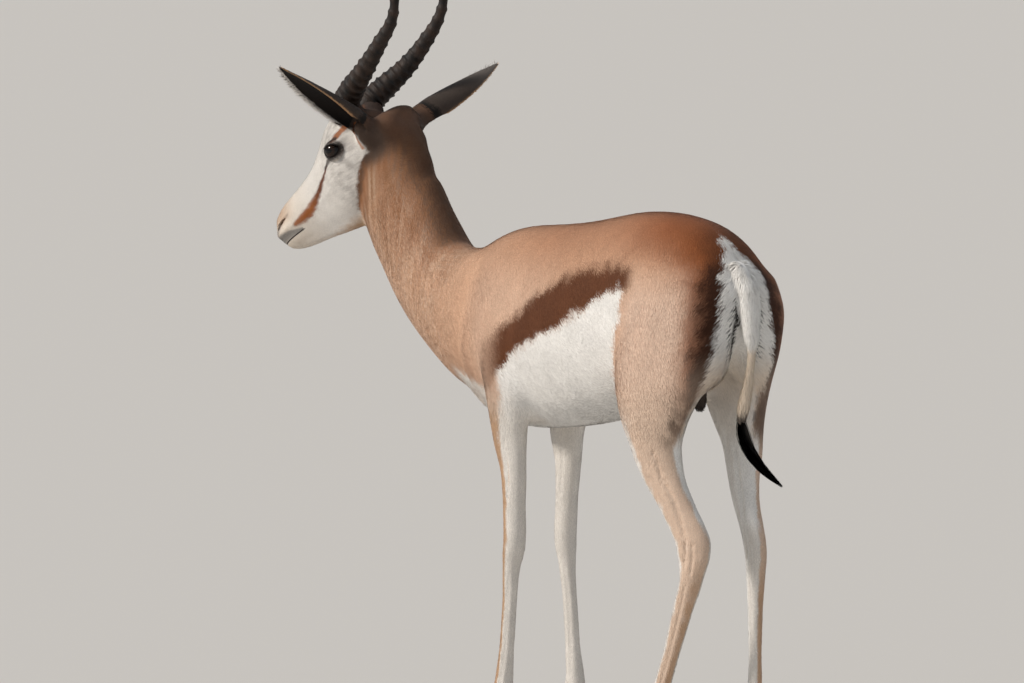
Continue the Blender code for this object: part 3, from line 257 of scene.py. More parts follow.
# Ears: root and tip in the head's forward, left, up axes, the way the cup
# opens, then sections: share of the length, half width, depth, wrap angle.
EARS = {
    "ear_left": ((0.027, 0.037, -0.033), (0.094, 0.165, 0.073), (-0.10, 0.28, -0.95)),
    "ear_right": ((0.004, -0.044, -0.024), (-0.064, -0.163, 0.069), (0.05, -0.24, -0.97)),
}
EAR_SECTIONS = [
    (0.00, 0.0150, 0.0290, 150),
    (0.10, 0.0185, 0.0290, 140),
    (0.22, 0.0225, 0.0270, 124),
    (0.36, 0.0240, 0.0230, 108),
    (0.50, 0.0240, 0.0185, 96),
    (0.64, 0.0220, 0.0135, 86),
    (0.78, 0.0168, 0.0090, 76),
    (0.90, 0.0095, 0.0048, 66),
    (1.00, 0.0022, 0.0014, 55),
]
EAR_THICK = 0.0030
EAR_PLUG = (0.0175, 0.0210, 0.0340)   # radii of the fleshy root: side, back, along
EAR_PLUG_BACK = 0.009               # its middle lies behind the ear's line

# Horns: middle line in the head's forward, side, up axes, with the radius.
HORN_PATH = [
    (0.0765, 0.0245, -0.006, 0.0178),
    (0.0690, 0.0320, 0.015, 0.0178),
    (0.0495, 0.0450, 0.039, 0.0158),
    (0.026, 0.055, 0.063, 0.0132),
    (-0.008, 0.063, 0.107, 0.0097),
    (-0.027, 0.064, 0.137, 0.0075),
    (-0.0335, 0.0660, 0.162, 0.0060),
    (-0.0285, 0.0650, 0.197, 0.0045),
    (-0.0165, 0.0565, 0.224, 0.0030),
    (-0.0045, 0.0485, 0.240, 0.0014),
]
HORN_RINGS = 15
HORN_FIRST = 0.09                   # share of the length below the rings
HORN_RINGED = 0.66                  # share of the length with rings
RING_SPREAD = 1.3                   # more than 1 crowds the rings at the base
HORN_SMOOTH = [0.84, 0.90, 0.95, 1.0]
RING_HEIGHT = 0.0021
HORN_SIDES = 10
HORN_POINTS = 200                   # points on the middle line
HORN_SUNK = [0, 10, 20, 30, 40, 50, 60]   # those of them in the skull's socket
HORN_GAP = 0.0005                   # round the ringed base

# Tail: middle line x, y, z and radius, then the tuft of long black hair.
TAIL = [
    (0.000, 0.464, 0.704, 0.0130),
    (0.000, 0.484, 0.684, 0.0145),
    (0.000, 0.491, 0.655, 0.0143),
    (0.000, 0.496, 0.628, 0.0122),
    (0.000, 0.498, 0.608, 0.0100),
    (0.000, 0.498, 0.594, 0.0068),
    (0.001, 0.498, 0.574, 0.0056),
    (0.002, 0.495, 0.552, 0.0062),
    (0.003, 0.490, 0.531, 0.0078),
    (0.004, 0.485, 0.512, 0.0085),
    (0.004, 0.479, 0.493, 0.0060),
]
TAIL_RINGS = 18
TAIL_SIDES = 10
TUFT = [
    (0.004, 0.479, 0.498, 0.0088),
    (0.002, 0.480, 0.479, 0.0092),
    (-0.003, 0.486, 0.456, 0.0078),
    (-0.011, 0.500, 0.434, 0.0058),
    (-0.0236, 0.5364, 0.4057, 0.0025),
]
TUFT_POINTS = 61                    # points on the middle line
TUFT_CORE = [0, 8, 16, 24, 32]      # those of them in the solid core
CORE_SIZE = 0.62                    # of the tuft's radius
CORE_SIDES = 6
LOCKS = 8
LOCK_TURN = radians(137.5)          # from one lock to the next, round the tail
LOCK_ROOTS = (0.03, 0.40)           # shares of the tuft where locks leave it
LOCK_TIPS = (0.74, 1.00)
LOCK_SKIP = 0.618                   # mixes longer and shorter locks round the tail
LOCK_RINGS = 6
LOCK_WIDTH = 0.0046                 # half width
LOCK_THICK = 0.0014                 # half thickness
LOCK_BULGE = 0.85                   # of the tuft's radius, at mid length

# Small horny knobs behind the fetlock: height, set back, apart, then radii.
DEWCLAW = (0.076, 0.0165, 0.0085)
DEWCLAW_SIZE = (0.0055, 0.0050, 0.0080)

# Hooves: two claws a foot. Sections from the heel to the toe: share of the
# length, half width, height.
CLAW_LENGTH = 0.054
CLAW_HEEL = 0.42                    # share of the length behind the foot's middle
CLAW_BACK = 0.10                    # the wall leans back by this share of height
CLAW_LEAN = 0.0035                  # the toes turn in
CLAW_OUTLINE = [(-1, 0), (1, 0), (1, 0.35), (0.82, 0.72), (0.4, 1),
                (-0.4, 1), (-0.82, 0.72), (-1, 0.35)]
CLAW_APART = 0.0097
CLAW_SECTIONS = [
    (0.00, 0.0040, 0.016),
    (0.08, 0.0068, 0.026),
    (0.28, 0.0086, 0.034),
    (0.50, 0.0088, 0.036),
    (0.64, 0.0080, 0.027),
    (0.80, 0.0060, 0.0165),
    (0.93, 0.0033, 0.0085),
    (1.00, 0.0010, 0.0040),
]
CORONET_HEIGHT = 0.0235
CORONET_SLOPE = 0.30

# Planes that part the flesh into nodes: a point and the way out of the body.
NECK_CUT = ((0.0, -0.331, 0.755), (0.0, -0.757, 0.653))
CHEST_CUT = ((0.0, -0.155, 0.610), (0.0, -0.914, 0.406))
FORE_CUT = ((0.018, 0.0, 0.470), (0.64, 0.0, -0.77))
HIND_CUT = ((0.022, 0.38, 0.500), (0.774, 0.0, -0.633))
FORE_EDGES = [((0, 0.085, 0), (0, -1, 0)), ((0, -0.052, 0), (0, 1, 0))]
HIND_EDGES = [((0, 0.295, 0), (0, 1, 0))]
CANNON_TOP = 0.262                  # the leg is parted under knee and hock
EAR_CUT = 0.014                     # from the ear's root
EAR_ROOM = (0.0235, 0.0245, 0.050)  # radii and length of the room for the ear in the head
EAR_ROOM_BACK = 0.012

# The mouth: a slit with a U of flesh left inside, in the head's s and side.
MOUTH_LEVEL = -0.0495
MOUTH_HALF = 0.0006
MOUTH_CORNER = 0.214
MOUTH_INNER = [(0.214, 0.0150), (0.235, 0.0135), (0.248, 0.0090), (0.2530, 0.0)]
NOSTRIL = ((0.2430, 0.0165, -0.0290), (0.0105, 0.0060, 0.0032))

print("tables:", len(TRUNK), "trunk rows,", len(NECK), "neck rows,", len(HEAD), "head rows")

# %% [markdown]
# Three small tools read the tables. One runs a smooth curve through rows, one
# looks a value up at a given height, and one skins a closed tube over rings
# of points. Writing rings with NumPy and handing them to a mesh is quicker
# than moving control points by hand, and it can be changed by one number.

# %% Read rows and build lofts
def eased(rows, count):
    """Rows of numbers, read from a smooth curve through the given rows."""
    rows = np.array(rows, float)
    steps = np.linalg.norm(np.diff(rows[:, :3], axis=0), axis=1)
    knots = np.concatenate([[0], np.cumsum(np.maximum(steps, 1e-6))])
    slopes = np.gradient(rows, knots, axis=0)
    places = np.linspace(0, knots[-1], count)
    i = np.clip(np.searchsorted(knots, places, side="right") - 1, 0, len(knots) - 2)
    span = (knots[i + 1] - knots[i])[:, None]
    t = ((places - knots[i]) / span[:, 0])[:, None]
    return ((2 * t**3 - 3 * t**2 + 1) * rows[i] + (t**3 - 2 * t**2 + t) * span * slopes[i]
            + (3 * t**2 - 2 * t**3) * rows[i + 1] + (t**3 - t**2) * span * slopes[i + 1])


def at(rows, place):
    """Values of the rows where their first column has the given value."""
    rows = np.array(sorted(rows), float)
    return [np.interp(place, rows[:, 0], rows[:, k]) for k in range(1, rows.shape[1])]


def tube(rings):
    """Points and faces of a closed loft through rings of equal length."""
    count = len(rings[0])
    faces = [(r * count + k, r * count + (k + 1) % count,
              (r + 1) * count + (k + 1) % count, (r + 1) * count + k)
             for r in range(len(rings) - 1) for k in range(count)]
    faces.append(tuple(reversed(range(count))))
    faces.append(tuple((len(rings) - 1) * count + k for k in range(count)))
    return np.concatenate(rings), faces


def ball(middle, radii, turn=None, across=32, along=20):
    """Points and faces of an ellipsoid."""
    spin = np.linspace(0, 2 * pi, across, endpoint=False)
    rings = [np.stack([sin(a) * np.cos(spin), sin(a) * np.sin(spin), np.full(across, -cos(a))], -1)
             for a in np.linspace(0, pi, along + 1)[1:-1]]
    points, faces = tube(rings)
    points = points * np.array(radii)
    if turn is not None:
        points = points @ np.array(turn).T
    return points + np.array(middle), faces


def unit(vectors):
    return vectors / np.maximum(np.linalg.norm(vectors, axis=-1, keepdims=True), 1e-9)


def smooth_step(value, low, high):
    """0 below low, 1 above high, and an even slope between them."""
    t = np.clip((value - low) / (high - low), 0, 1)
    return t * t * (3 - 2 * t)


def make_mesh(name, pieces):
    """One mesh from loose closed pieces, each facing out."""
    points, faces, start = [], [], 0
    for more_points, more_faces in pieces:
        points.extend(map(tuple, more_points))
        faces.extend(tuple(i + start for i in face) for face in more_faces)
        start += len(more_points)
    mesh = bpy.data.meshes.new(name)
    mesh.from_pydata(points, [], faces)
    shape = bmesh.new()
    shape.from_mesh(mesh)
    bmesh.ops.recalc_face_normals(shape, faces=shape.faces)
    bmesh.ops.triangulate(shape, faces=shape.faces, quad_method="FIXED")
    shape.to_mesh(mesh)
    shape.free()
    return mesh


def make_object(name, mesh):
    ob = bpy.data.objects.new(name, mesh)
    bpy.context.scene.collection.objects.link(ob)
    return ob


# %% [markdown]
# The head has axes of its own, because it is turned to the left and slopes
# down to the nose. Places on it are given along the slope, to the side, and
# above it, and one function turns them into places in the world and back.

# %% The head's own axes
HEAD_AXES = np.array([(sin(HEAD_YAW), -cos(HEAD_YAW), 0), (cos(HEAD_YAW), sin(HEAD_YAW), 0), (0, 0, 1)])


def from_head(points):
    """Points given as forward, left, up from the poll."""
    return np.array(POLL) + np.array(points, float) @ HEAD_AXES


def from_skull(points):
    """Points given along, beside and above the sloping axis of the head."""
    points = np.array(points, float)
    s, side, n = points[..., 0], points[..., 1], points[..., 2]
    forward = s * cos(HEAD_PITCH) + n * sin(HEAD_PITCH)
    up = n * cos(HEAD_PITCH) - s * sin(HEAD_PITCH)
    return from_head(np.stack([forward, side, up], -1))


def to_skull(points):
    local = (points - np.array(POLL)) @ HEAD_AXES.T
    forward, side, up = local[:, 0], local[:, 1], local[:, 2]
    return np.stack([forward * cos(HEAD_PITCH) - up * sin(HEAD_PITCH), side,
                     forward * sin(HEAD_PITCH) + up * cos(HEAD_PITCH)], -1)


def spin(count):
    return np.linspace(0, 2 * pi, count, endpoint=False)


def powered(value, power):
    return np.sign(value) * np.abs(value) ** power


# %% [markdown]
# The flesh is made as loose overlapping lofts: trunk, neck, skull, four legs
# and the fleshy roots of ears and horns. A voxel remesh then grows them into
# one closed skin with no seams, which a stack of separate tubes never gives.
# Its square steps are evened out afterwards.

# %% Loose lofts of the flesh
def trunk():
    rings = []
    for y, top, bottom, wide, level, upper, lower in eased(TRUNK, 80):
        c, s = np.cos(spin(56)), np.sin(spin(56))
        power = np.where(s > 0, 2 / upper, 2 / lower)
        height = np.where(s > 0, top - level, level - bottom)
        rings.append(np.stack([wide * powered(c, power), np.full_like(c, y),
                               level + height * powered(s, power)], -1))
    return tube(rings[::-1])


def neck():
    rows = eased(NECK, 60)
    tangents = unit(np.gradient(rows[:, :3], axis=0))
    side = unit(np.cross(tangents, [0, 0, 1.0]))
    depth = np.cross(side, tangents)
    return tube([row[:3] + np.outer(np.cos(spin(44)) * row[4], s) + np.outer(np.sin(spin(44)) * row[3], d)
                 for row, s, d in zip(rows, side, depth)])


def skull():
    rings = []
    v = np.sin(spin(60))
    for s, top, bottom, high, mid, low in eased(HEAD, 90):
        widths = np.interp(v, [-0.75, 0.0, 0.75], [low, mid, high])
        side = widths * powered(np.cos(spin(60)), 0.8)
        n = (top + bottom) / 2 + (top - bottom) / 2 * powered(v, 0.9)
        rings.append(from_skull(np.stack([np.full_like(v, s), side, n], -1)))
    return tube(rings)


def leg(name):
    kind = "fore" if name.startswith("fore") else "hind"
    way = 1 if name.endswith("left") else -1
    rings = []
    for z, x, y in eased(LEG_PATHS[name], 110):
        length, width, turn = at(LEG_SIZES[kind], z)
        a = way * radians(turn)
        along, side = np.array([sin(a), -cos(a), 0]), np.array([cos(a), sin(a), 0])
        rings.append(np.array([x, y, z]) + np.outer(np.sin(spin(32)) * length, along)
                     + np.outer(np.cos(spin(32)) * width, side))
    return tube(rings)


def dewclaws(name):
    height, back, apart = DEWCLAW
    x, y = at(LEG_PATHS[name], height)
    return [ball((x + dx, y + back, height), DEWCLAW_SIZE, None, 14, 8) for dx in (-apart, apart)]


def ear_frame(root, tip, opening):
    """Root point, direction, length, side and opening of an ear, in the world."""
    start, end = from_head([root, tip])
    length = np.linalg.norm(end - start)
    along = (end - start) / length
    out = np.array(opening) @ HEAD_AXES
    out = unit(out - along * (out @ along))
    return start, along, length, np.cross(along, out), out


def knobs():
    """The crown, and the fleshy bases of ears and horns."""
    found = []
    for (s, side, n), radii in (CROWN, EAR_BASE, HORN_BASE):
        for way in (1, -1):
            points, faces = ball((s, side * way, n), radii)
            found.append((from_skull(points), faces))
    for ear in EARS.values():
        start, along, length, side, out = ear_frame(*ear)
        found.append(ball(start - out * EAR_PLUG_BACK, EAR_PLUG, np.stack([side, out, along], 1)))
    (x, y, z), radii = BUTTOCK
    return found + [ball((x * way, y, z), radii) for way in (1, -1)]


flesh = [trunk(), neck(), skull(), ball(*SCROTUM)] + knobs()
for name in LEG_PATHS:
    flesh += [leg(name)] + dewclaws(name)
print("loose pieces of flesh:", len(flesh))

# %% [markdown]
# Growing together and evening out. The remesh uses 3 mm voxels. Evening out
# moves each point toward the middle of its neighbours and then slightly back,
# which takes off the steps and keeps the size. The trunk gets more rounds than
# the head, because its joins with the legs and neck are broad and soft.

# %% Grow the skin and even it out
VOXEL = 0.003
HEAD_ROUNDS, BODY_ROUNDS = 6, 34             # pairs of pull and push
HEAD_BLENDS, BODY_BLENDS = 44, 80            # pulls alone, at the joins


def coordinates(mesh, kind="co"):
    values = np.empty(len(mesh.vertices) * 3, np.float32)
    mesh.vertices.foreach_get(kind, values)
    return values.reshape(-1, 3).astype(float)


def apply_modifiers(ob):
    graph = bpy.context.evaluated_depsgraph_get()
    graph.update()
    mesh = bpy.data.meshes.new_from_object(ob.evaluated_get(graph))
    ob.modifiers.clear()
    ob.data = mesh


def neighbours(mesh):
    edges = np.empty(len(mesh.edges) * 2, int)
    mesh.edges.foreach_get("vertices", edges)
    return edges[0::2], edges[1::2]


def pull(points, edges, weight):
    """Move each point by a share of the way to the middle of its neighbours."""
    a, b = edges
    count = len(points)
    degree = np.maximum(np.bincount(a, minlength=count) + np.bincount(b, minlength=count), 1)
    total = np.stack([np.bincount(a, points[b, k], count) + np.bincount(b, points[a, k], count)
                      for k in range(3)], -1)
    return points + weight * (total / degree[:, None] - points)


def even_out(points, edges):
    ahead = (points - np.array(NECK_CUT[0])) @ unit(np.array(NECK_CUT[1]))
    body = 1 - smooth_step(ahead, -0.02, 0.01)[:, None]
    for step in range(BODY_ROUNDS):
        share = body if step >= HEAD_ROUNDS else 1.0
        points = pull(points, edges, 0.55 * share)
        points = pull(points, edges, -0.56 * share)
    forward = (points - np.array(POLL)) @ HEAD_AXES[0]
    nape = 0.5 * np.clip(1 - forward / 0.085, 0, 1)[:, None] * (1 - body)
    trunk_part = (np.clip((points[:, 2] - 0.44) / 0.08, 0, 1)
                  * np.clip((points[:, 1] + 0.30) / 0.08, 0, 1))[:, None]
    for step in range(BODY_BLENDS):
        points = pull(points, edges, 0.6 * (trunk_part + (nape if step < HEAD_BLENDS else 0.0)))
    return points


skin = make_object("skin", make_mesh("skin", flesh))
grow = skin.modifiers.new("Grow together", "REMESH")
grow.mode, grow.voxel_size, grow.adaptivity = "VOXEL", VOXEL, 0.0
apply_modifiers(skin)
skin.data.vertices.foreach_set("co", even_out(coordinates(skin.data), neighbours(skin.data)).ravel())
skin.data.update()
print("skin:", len(skin.data.vertices), "points")

# %% [markdown]
# Muscles and bones swell the skin where the photo shows them: shoulder blade,
# point of the hip, thigh, brow, cheek and the wings of the nostrils. Each is a
# soft bump along the surface's own direction, so it never makes an edge. The
# skin then sinks by the coat's depth, which leaves room for the hair.

# %% Swell the muscles and leave room for the coat
COAT_DEPTH = [                       # height over the floor, depth of the hair
    (0.00, 0.0008), (0.30, 0.0009), (0.45, 0.0011), (0.55, 0.0014), (0.80, 0.0014), (0.84, 0.0010),
    (0.90, 0.0008), (1.20, 0.0006)]


def swell(points, normals, table, local, mirror):
    move = np.zeros(len(points))
    for sides, middle, spread, height in table:
        for flip in ((1, 1, 1), mirror) if sides == "both" else ((1, 1, 1),):
            gap = (local - np.array(middle) * np.array(flip)) / np.array(spread)
            move += height * np.exp(-0.5 * (gap**2).sum(1))
    return points + normals * move[:, None]


def coat_depth(points):
    rows = np.array(COAT_DEPTH)
    depth = np.interp(points[:, 2], rows[:, 0], rows[:, 1])
    face = smooth_step(to_skull(points)[:, 0], 0.02, 0.08) * smooth_step(points[:, 2], 0.60, 0.66)
    face = face * smooth_step(-points[:, 1], 0.36, 0.40)
    return depth * (1 - face) + 0.0005 * face


points = coordinates(skin.data)
points = swell(points, coordinates(skin.data, "normal"), SWELLS, points, (-1, 1, 1))
points = swell(points, coordinates(skin.data, "normal"), HEAD_SWELLS, to_skull(points), (1, -1, 1))
skin.data.vertices.foreach_set("co", points.ravel())
skin.data.update()
points = points - coordinates(skin.data, "normal") * coat_depth(points)[:, None]
skin.data.vertices.foreach_set("co", points.ravel())
skin.data.update()
print("depth of the coat:", round(coat_depth(points).min() * 1000, 2), "to",
      round(coat_depth(points).max() * 1000, 2), "mm")

# %% [markdown]
# Only the head needs points a millimetre apart. The trunk is thinned out with
# a Decimate modifier that a vertex group holds off the head, and the face is
# divided once more for lids, nostrils and lips.

# %% Thin the trunk, refine the face
TRUNK_KEPT = 0.42


def on_head(points):
    """1 on the head, 0 behind the cut through the throat."""
    return smooth_step((points - np.array(NECK_CUT[0])) @ unit(np.array(NECK_CUT[1])), 0.0, 0.02)


group = skin.vertex_groups.new(name="thin here")
weights = 1 - on_head(coordinates(skin.data))
group.add(np.flatnonzero(weights > 0.5).tolist(), 1.0, "REPLACE")
thin = skin.modifiers.new("Thin out", "DECIMATE")
thin.ratio, thin.vertex_group, thin.use_collapse_triangulate = TRUNK_KEPT, group.name, True
apply_modifiers(skin)
shape = bmesh.new()
shape.from_mesh(skin.data)
face_edges = [e for e in shape.edges
              if to_skull(np.array([e.verts[0].co, e.verts[1].co])).min(0)[0] > 0.055
              and on_head(np.array([e.verts[0].co])) > 0.5]
bmesh.ops.subdivide_edges(shape, edges=face_edges, cuts=1, use_grid_fill=True)
bmesh.ops.triangulate(shape, faces=shape.faces)
shape.to_mesh(skin.data)
shape.free()
print("skin:", len(skin.data.polygons), "triangles")

# %% [markdown]
# The head is finished with Booleans, as a model maker cuts clay with small
# tools. A thin shell over each eyeball becomes the lids once an almond is cut
# from it. Sockets and nostrils are hollows, and the mouth is a thin slit
# between the lips. The ears are thin cupped leaves on fleshy roots.

# %% Lids, sockets, nostrils and mouth
LID_SKIN = 0.0013                    # thickness of the lids over the eyeball
OPENING = (0.0124, 0.0086)           # half size of the opening between the lids


def lid_rim(angles, grow=0.0):
    """Forward and up from the middle of the eye, round the almond between the lids."""
    x = (OPENING[0] + grow) * np.cos(angles)
    y = (OPENING[1] + grow) * np.sin(angles) * (0.86 + 0.14 * np.sin(angles)**2)
    return x * cos(LID_TILT) - y * sin(LID_TILT), x * sin(LID_TILT) + y * cos(LID_TILT)


def lid_cutter(side):
    """An almond block from the middle of the eye outwards."""
    along, up = lid_rim(spin(48))
    return tube([from_head(np.stack([EYE_PLACE[0] + along, np.full(48, side * (EYE_PLACE[1] + out)),
                                     EYE_PLACE[2] + up], -1)) for out in (0.0, 0.03)])


MOUTH_DROP, MOUTH_SLOPE = 0.0070, 0.02


def mouth_line(s):
    """Height of the line between the lips, which falls towards the chin."""
    return MOUTH_LEVEL - MOUTH_DROP - MOUTH_SLOPE * (s - MOUTH_CORNER)


def mouth_slit():
    """A flat band round the muzzle that parts the lips."""
    inner = MOUTH_INNER + [(s, -side) for s, side in MOUTH_INNER[-2::-1]]
    outer = [(MOUTH_CORNER, -0.045), (0.290, -0.045), (0.290, 0.045), (MOUTH_CORNER, 0.045)]
    return tube([from_skull([(s, side, mouth_line(s) + n) for s, side in inner + outer])
                 for n in (-MOUTH_HALF, MOUTH_HALF)])


def cut(ob, pieces, operation):
    """Join the pieces to the object, or cut them from it, and apply it."""
    tool = make_object("tool", make_mesh("tool", pieces))
    change = ob.modifiers.new(operation.title(), "BOOLEAN")
    change.operation, change.solver, change.object = operation, "MANIFOLD", tool
    apply_modifiers(ob)
    bpy.data.objects.remove(tool)


def eye_ball(side, radius, across=48, along=32):
    return ball(from_head([(EYE_PLACE[0], EYE_PLACE[1] * side, EYE_PLACE[2])])[0], (radius,) * 3,
                None, across, along)


NOSTRIL_PARTS = [                    # middle and radii of three hollows in a row, like a comma
    ((0.2430, 0.0165, -0.0305), (0.0080, 0.0050, 0.0026)),
    ((0.2365, 0.0185, -0.0280), (0.0060, 0.0045, 0.0018)),
    ((0.2475, 0.0140, -0.0345), (0.0042, 0.0045, 0.0032)),
]
for side in (1, -1):
    cut(skin, [eye_ball(side, EYE_RADIUS + LID_SKIN)], "UNION")
    cut(skin, [lid_cutter(side)], "DIFFERENCE")
    cut(skin, [eye_ball(side, EYE_RADIUS + GAP)], "DIFFERENCE")
    for (s, across, n), radii in NOSTRIL_PARTS:
        points, faces = ball((s, across * side, n), radii, None, 24, 16)
        cut(skin, [(from_skull(points), faces)], "DIFFERENCE")
cut(skin, [mouth_slit()], "DIFFERENCE")
print("skin with lids, nostrils and mouth:", len(skin.data.polygons), "triangles")

# %% Join the ears
def ear_shell(root, tip, opening, rows=44, columns=25):
    """A cupped leaf with thin rims that narrows to a point."""
    start, along, length, side, out = ear_frame(root, tip, opening)
    across = np.linspace(-1, 1, columns)
    rings = []
    for share, wide, deep, wrap in eased(EAR_SECTIONS, rows):
        a = radians(wrap)
        scale = wide / (sin(a) if a < pi / 2 else 1.0)
        x = scale * np.sin(across * a)
        y = -deep * (np.cos(across * a) - cos(a)) / (1 - cos(a))
        nx, ny = -np.sin(across * a) / scale, np.cos(across * a) * (1 - cos(a)) / deep
        thick = min(EAR_THICK, wide * 0.6) * (0.8 - 0.55 * across**4) / np.hypot(nx, ny)
        ring_x = np.concatenate([x, (x + nx * thick)[::-1]])
        ring_y = np.concatenate([y, (y + ny * thick)[::-1]])
        rings.append(start + along * length * share + np.outer(ring_x, side) + np.outer(ring_y, out))
    return tube(rings)


for root, tip, opening in EARS.values():
    cut(skin, [ear_shell(root, tip, opening)], "UNION")
print("skin with ears:", len(skin.data.polygons), "triangles")

# %% Soften the joins, keep the rims
def near_ear_roots(points):
    """1 at the roots of the ears, 0 from 20 mm away."""
    found = np.zeros(len(points))
    for root, tip, _ in EARS.values():
        start, end = from_head([root, tip])
        middle = start + unit(end - start) * 0.024
        found = np.maximum(found, 1 - smooth_step(np.linalg.norm(points - middle, axis=1), 0.022, 0.038))
    return found


def near_eyes(points):
    """1 on the lids and round them, away from the sharp edge of the opening."""
    found = np.zeros(len(points))
    for side in (1, -1):
        local = (points - from_head([(EYE_PLACE[0], EYE_PLACE[1] * side, EYE_PLACE[2])])[0]) @ HEAD_AXES.T
        far = np.linalg.norm(local, axis=1)
        rim = np.hypot(local[:, 0] / OPENING[0], local[:, 2] / OPENING[1])
        found = np.maximum(found, (1 - smooth_step(far, 0.019, 0.026)) * smooth_step(rim, 1.05, 1.35))
    return found


points, edges = coordinates(skin.data), neighbours(skin.data)
soft = near_ear_roots(points)[:, None]
for step in range(16):
    points = pull(points, edges, 0.5 * soft)
rims = near_eyes(points)[:, None]
for step in range(6):
    points = pull(points, edges, 0.5 * rims)
skin.data.vertices.foreach_set("co", points.ravel())
skin.data.update()
print("box of the skin:", np.round(points.min(0), 3), np.round(points.max(0), 3))

# %% [markdown]
# The tail is joined on after the trunk has been evened out, because so much
# smoothing would have worn it away. At the feet the skin ends in the coronet,
# the line where hair stops and hoof begins, so a slanting plane cuts it there.

# %% Join the tail, end the legs at the coronet
def round_path(rows, count, sides, grow=0.0):
    """A round loft along a path, thicker by grow."""
    rows = eased(rows, count)
    tangents = unit(np.gradient(rows[:, :3], axis=0))
    u = unit(np.array([1.0, 0, 0]) - tangents * tangents[:, :1])
    v = np.cross(tangents, u)
    return tube([row[:3] + (row[3] + grow) * (np.outer(np.cos(spin(sides)), a) + np.outer(np.sin(spin(sides)), b))
                 for row, a, b in zip(rows, u, v)])


def foot_frame(name):
    """Middle of the foot on the floor, the way it points, and its side."""
    kind = "fore" if name.startswith("fore") else "hind"
    way = 1 if name.endswith("left") else -1
    x, y = at(LEG_PATHS[name], 0.024)
    a = way * radians(at(LEG_SIZES[kind], 0.024)[2] * 0.6 + 3)
    return np.array([x, y, 0.0]), np.array([sin(a), -cos(a), 0]), np.array([cos(a), sin(a), 0])


def coronet_block(name, way):
    """A block whose near face is the coronet: way 1 reaches down, -1 up."""
    middle, forward, side = foot_frame(name)
    down = unit(np.array([0, 0, -1.0]) + forward * CORONET_SLOPE) * way
    near = middle + np.array([0, 0, CORONET_HEIGHT]) - down * 0.0002
    u = unit(np.cross(down, side))
    v = np.cross(down, u)
    square = np.array([(a, b) for a, b in ((-1, -1), (1, -1), (1, 1), (-1, 1))]) * 0.08
    return tube([near + square @ np.array([u, v]) + down * depth for depth in (0.0, 0.16)])


cut(skin, [round_path(TAIL, 60, 28, -0.0012)], "UNION")
for name in LEG_PATHS:
    cut(skin, [coronet_block(name, 1)], "DIFFERENCE")
points, edges = coordinates(skin.data), neighbours(skin.data)
at_tail = 1 - smooth_step(np.linalg.norm(points - np.array([0, 0.478, 0.694]), axis=1), 0.018, 0.030)
for step in range(14):
    points = pull(points, edges, 0.5 * at_tail[:, None])
skin.data.vertices.foreach_set("co", points.ravel())
skin.data.update()
print("skin with tail and coronets:", len(skin.data.polygons), "triangles")

# %% [markdown]
# Every place on the skin gets a place on one flat sheet, its unwrap. Each part
# of the body is rolled open round its own middle line, as a taxidermist opens
# a skin: how far along it is one way, and how far round it is the other. Each hair tuft sits on this sheet too.

# %% Unwrap the skin by the parts of the body
def spread(points, line, first, second):
    """How far along a middle line each point is, in metres, and its angle round it in turns."""
    line = np.array(line, float)
    best = np.full(len(points), 1e9)
    length, angle, start = np.zeros(len(points)), np.zeros(len(points)), 0.0
    for a, b in zip(line[:-1], line[1:]):
        step = np.linalg.norm(b - a)
        share = np.clip((points - a) @ (b - a) / step**2, 0, 1)
        gap = points - (a + share[:, None] * (b - a))
        far = np.linalg.norm(gap, axis=1)
        near = far < best
        best[near] = far[near]
        length[near] = start + share[near] * step
        angle[near] = np.arctan2(gap[near] @ second, gap[near] @ first) / (2 * pi) + 0.5
        start += step
    return length / start, angle


X_AXIS, Y_AXIS, Z_AXIS = np.eye(3)
TRUNK_LINE = [(0, 0.500, 0.655), (0, 0.40, 0.650), (0, 0.20, 0.615), (0, 0.0, 0.595)] + [
    (row[0], row[1] + 0.01, row[2]) for row in reversed(NECK)]
SKULL_UP = from_skull([(0, 0, 1)])[0] - np.array(POLL)
CHARTS = {                           # middle line, two directions across, place on the sheet
    "trunk": (TRUNK_LINE, X_AXIS, Z_AXIS, (0.01, 0.01, 0.63, 0.60)),
    "head": (from_skull([(-0.05, 0, -0.05), (0.28, 0, -0.045)]), HEAD_AXES[1], SKULL_UP,
             (0.65, 0.01, 0.99, 0.40)),
    "tail": ([row[:3] for row in TAIL], X_AXIS, Y_AXIS, (0.65, 0.84, 0.99, 0.99)),
}
for number, name in enumerate(LEG_PATHS):
    CHARTS[name] = ([(x, y, z) for z, x, y in LEG_PATHS[name]], X_AXIS, Y_AXIS,
                    (0.01 + 0.155 * number, 0.62, 0.155 + 0.155 * number, 0.99))
for number, name in enumerate(EARS):
    start, along, length, side, out = ear_frame(*EARS[name])
    for inner, label in ((0, "_back"), (1, "_inside")):
        left = 0.65 + 0.175 * number
        CHARTS[name + label] = ([start - along * 0.02, start + along * length], side, out,
                                (left, 0.42 + 0.21 * inner, left + 0.165, 0.62 + 0.21 * inner))


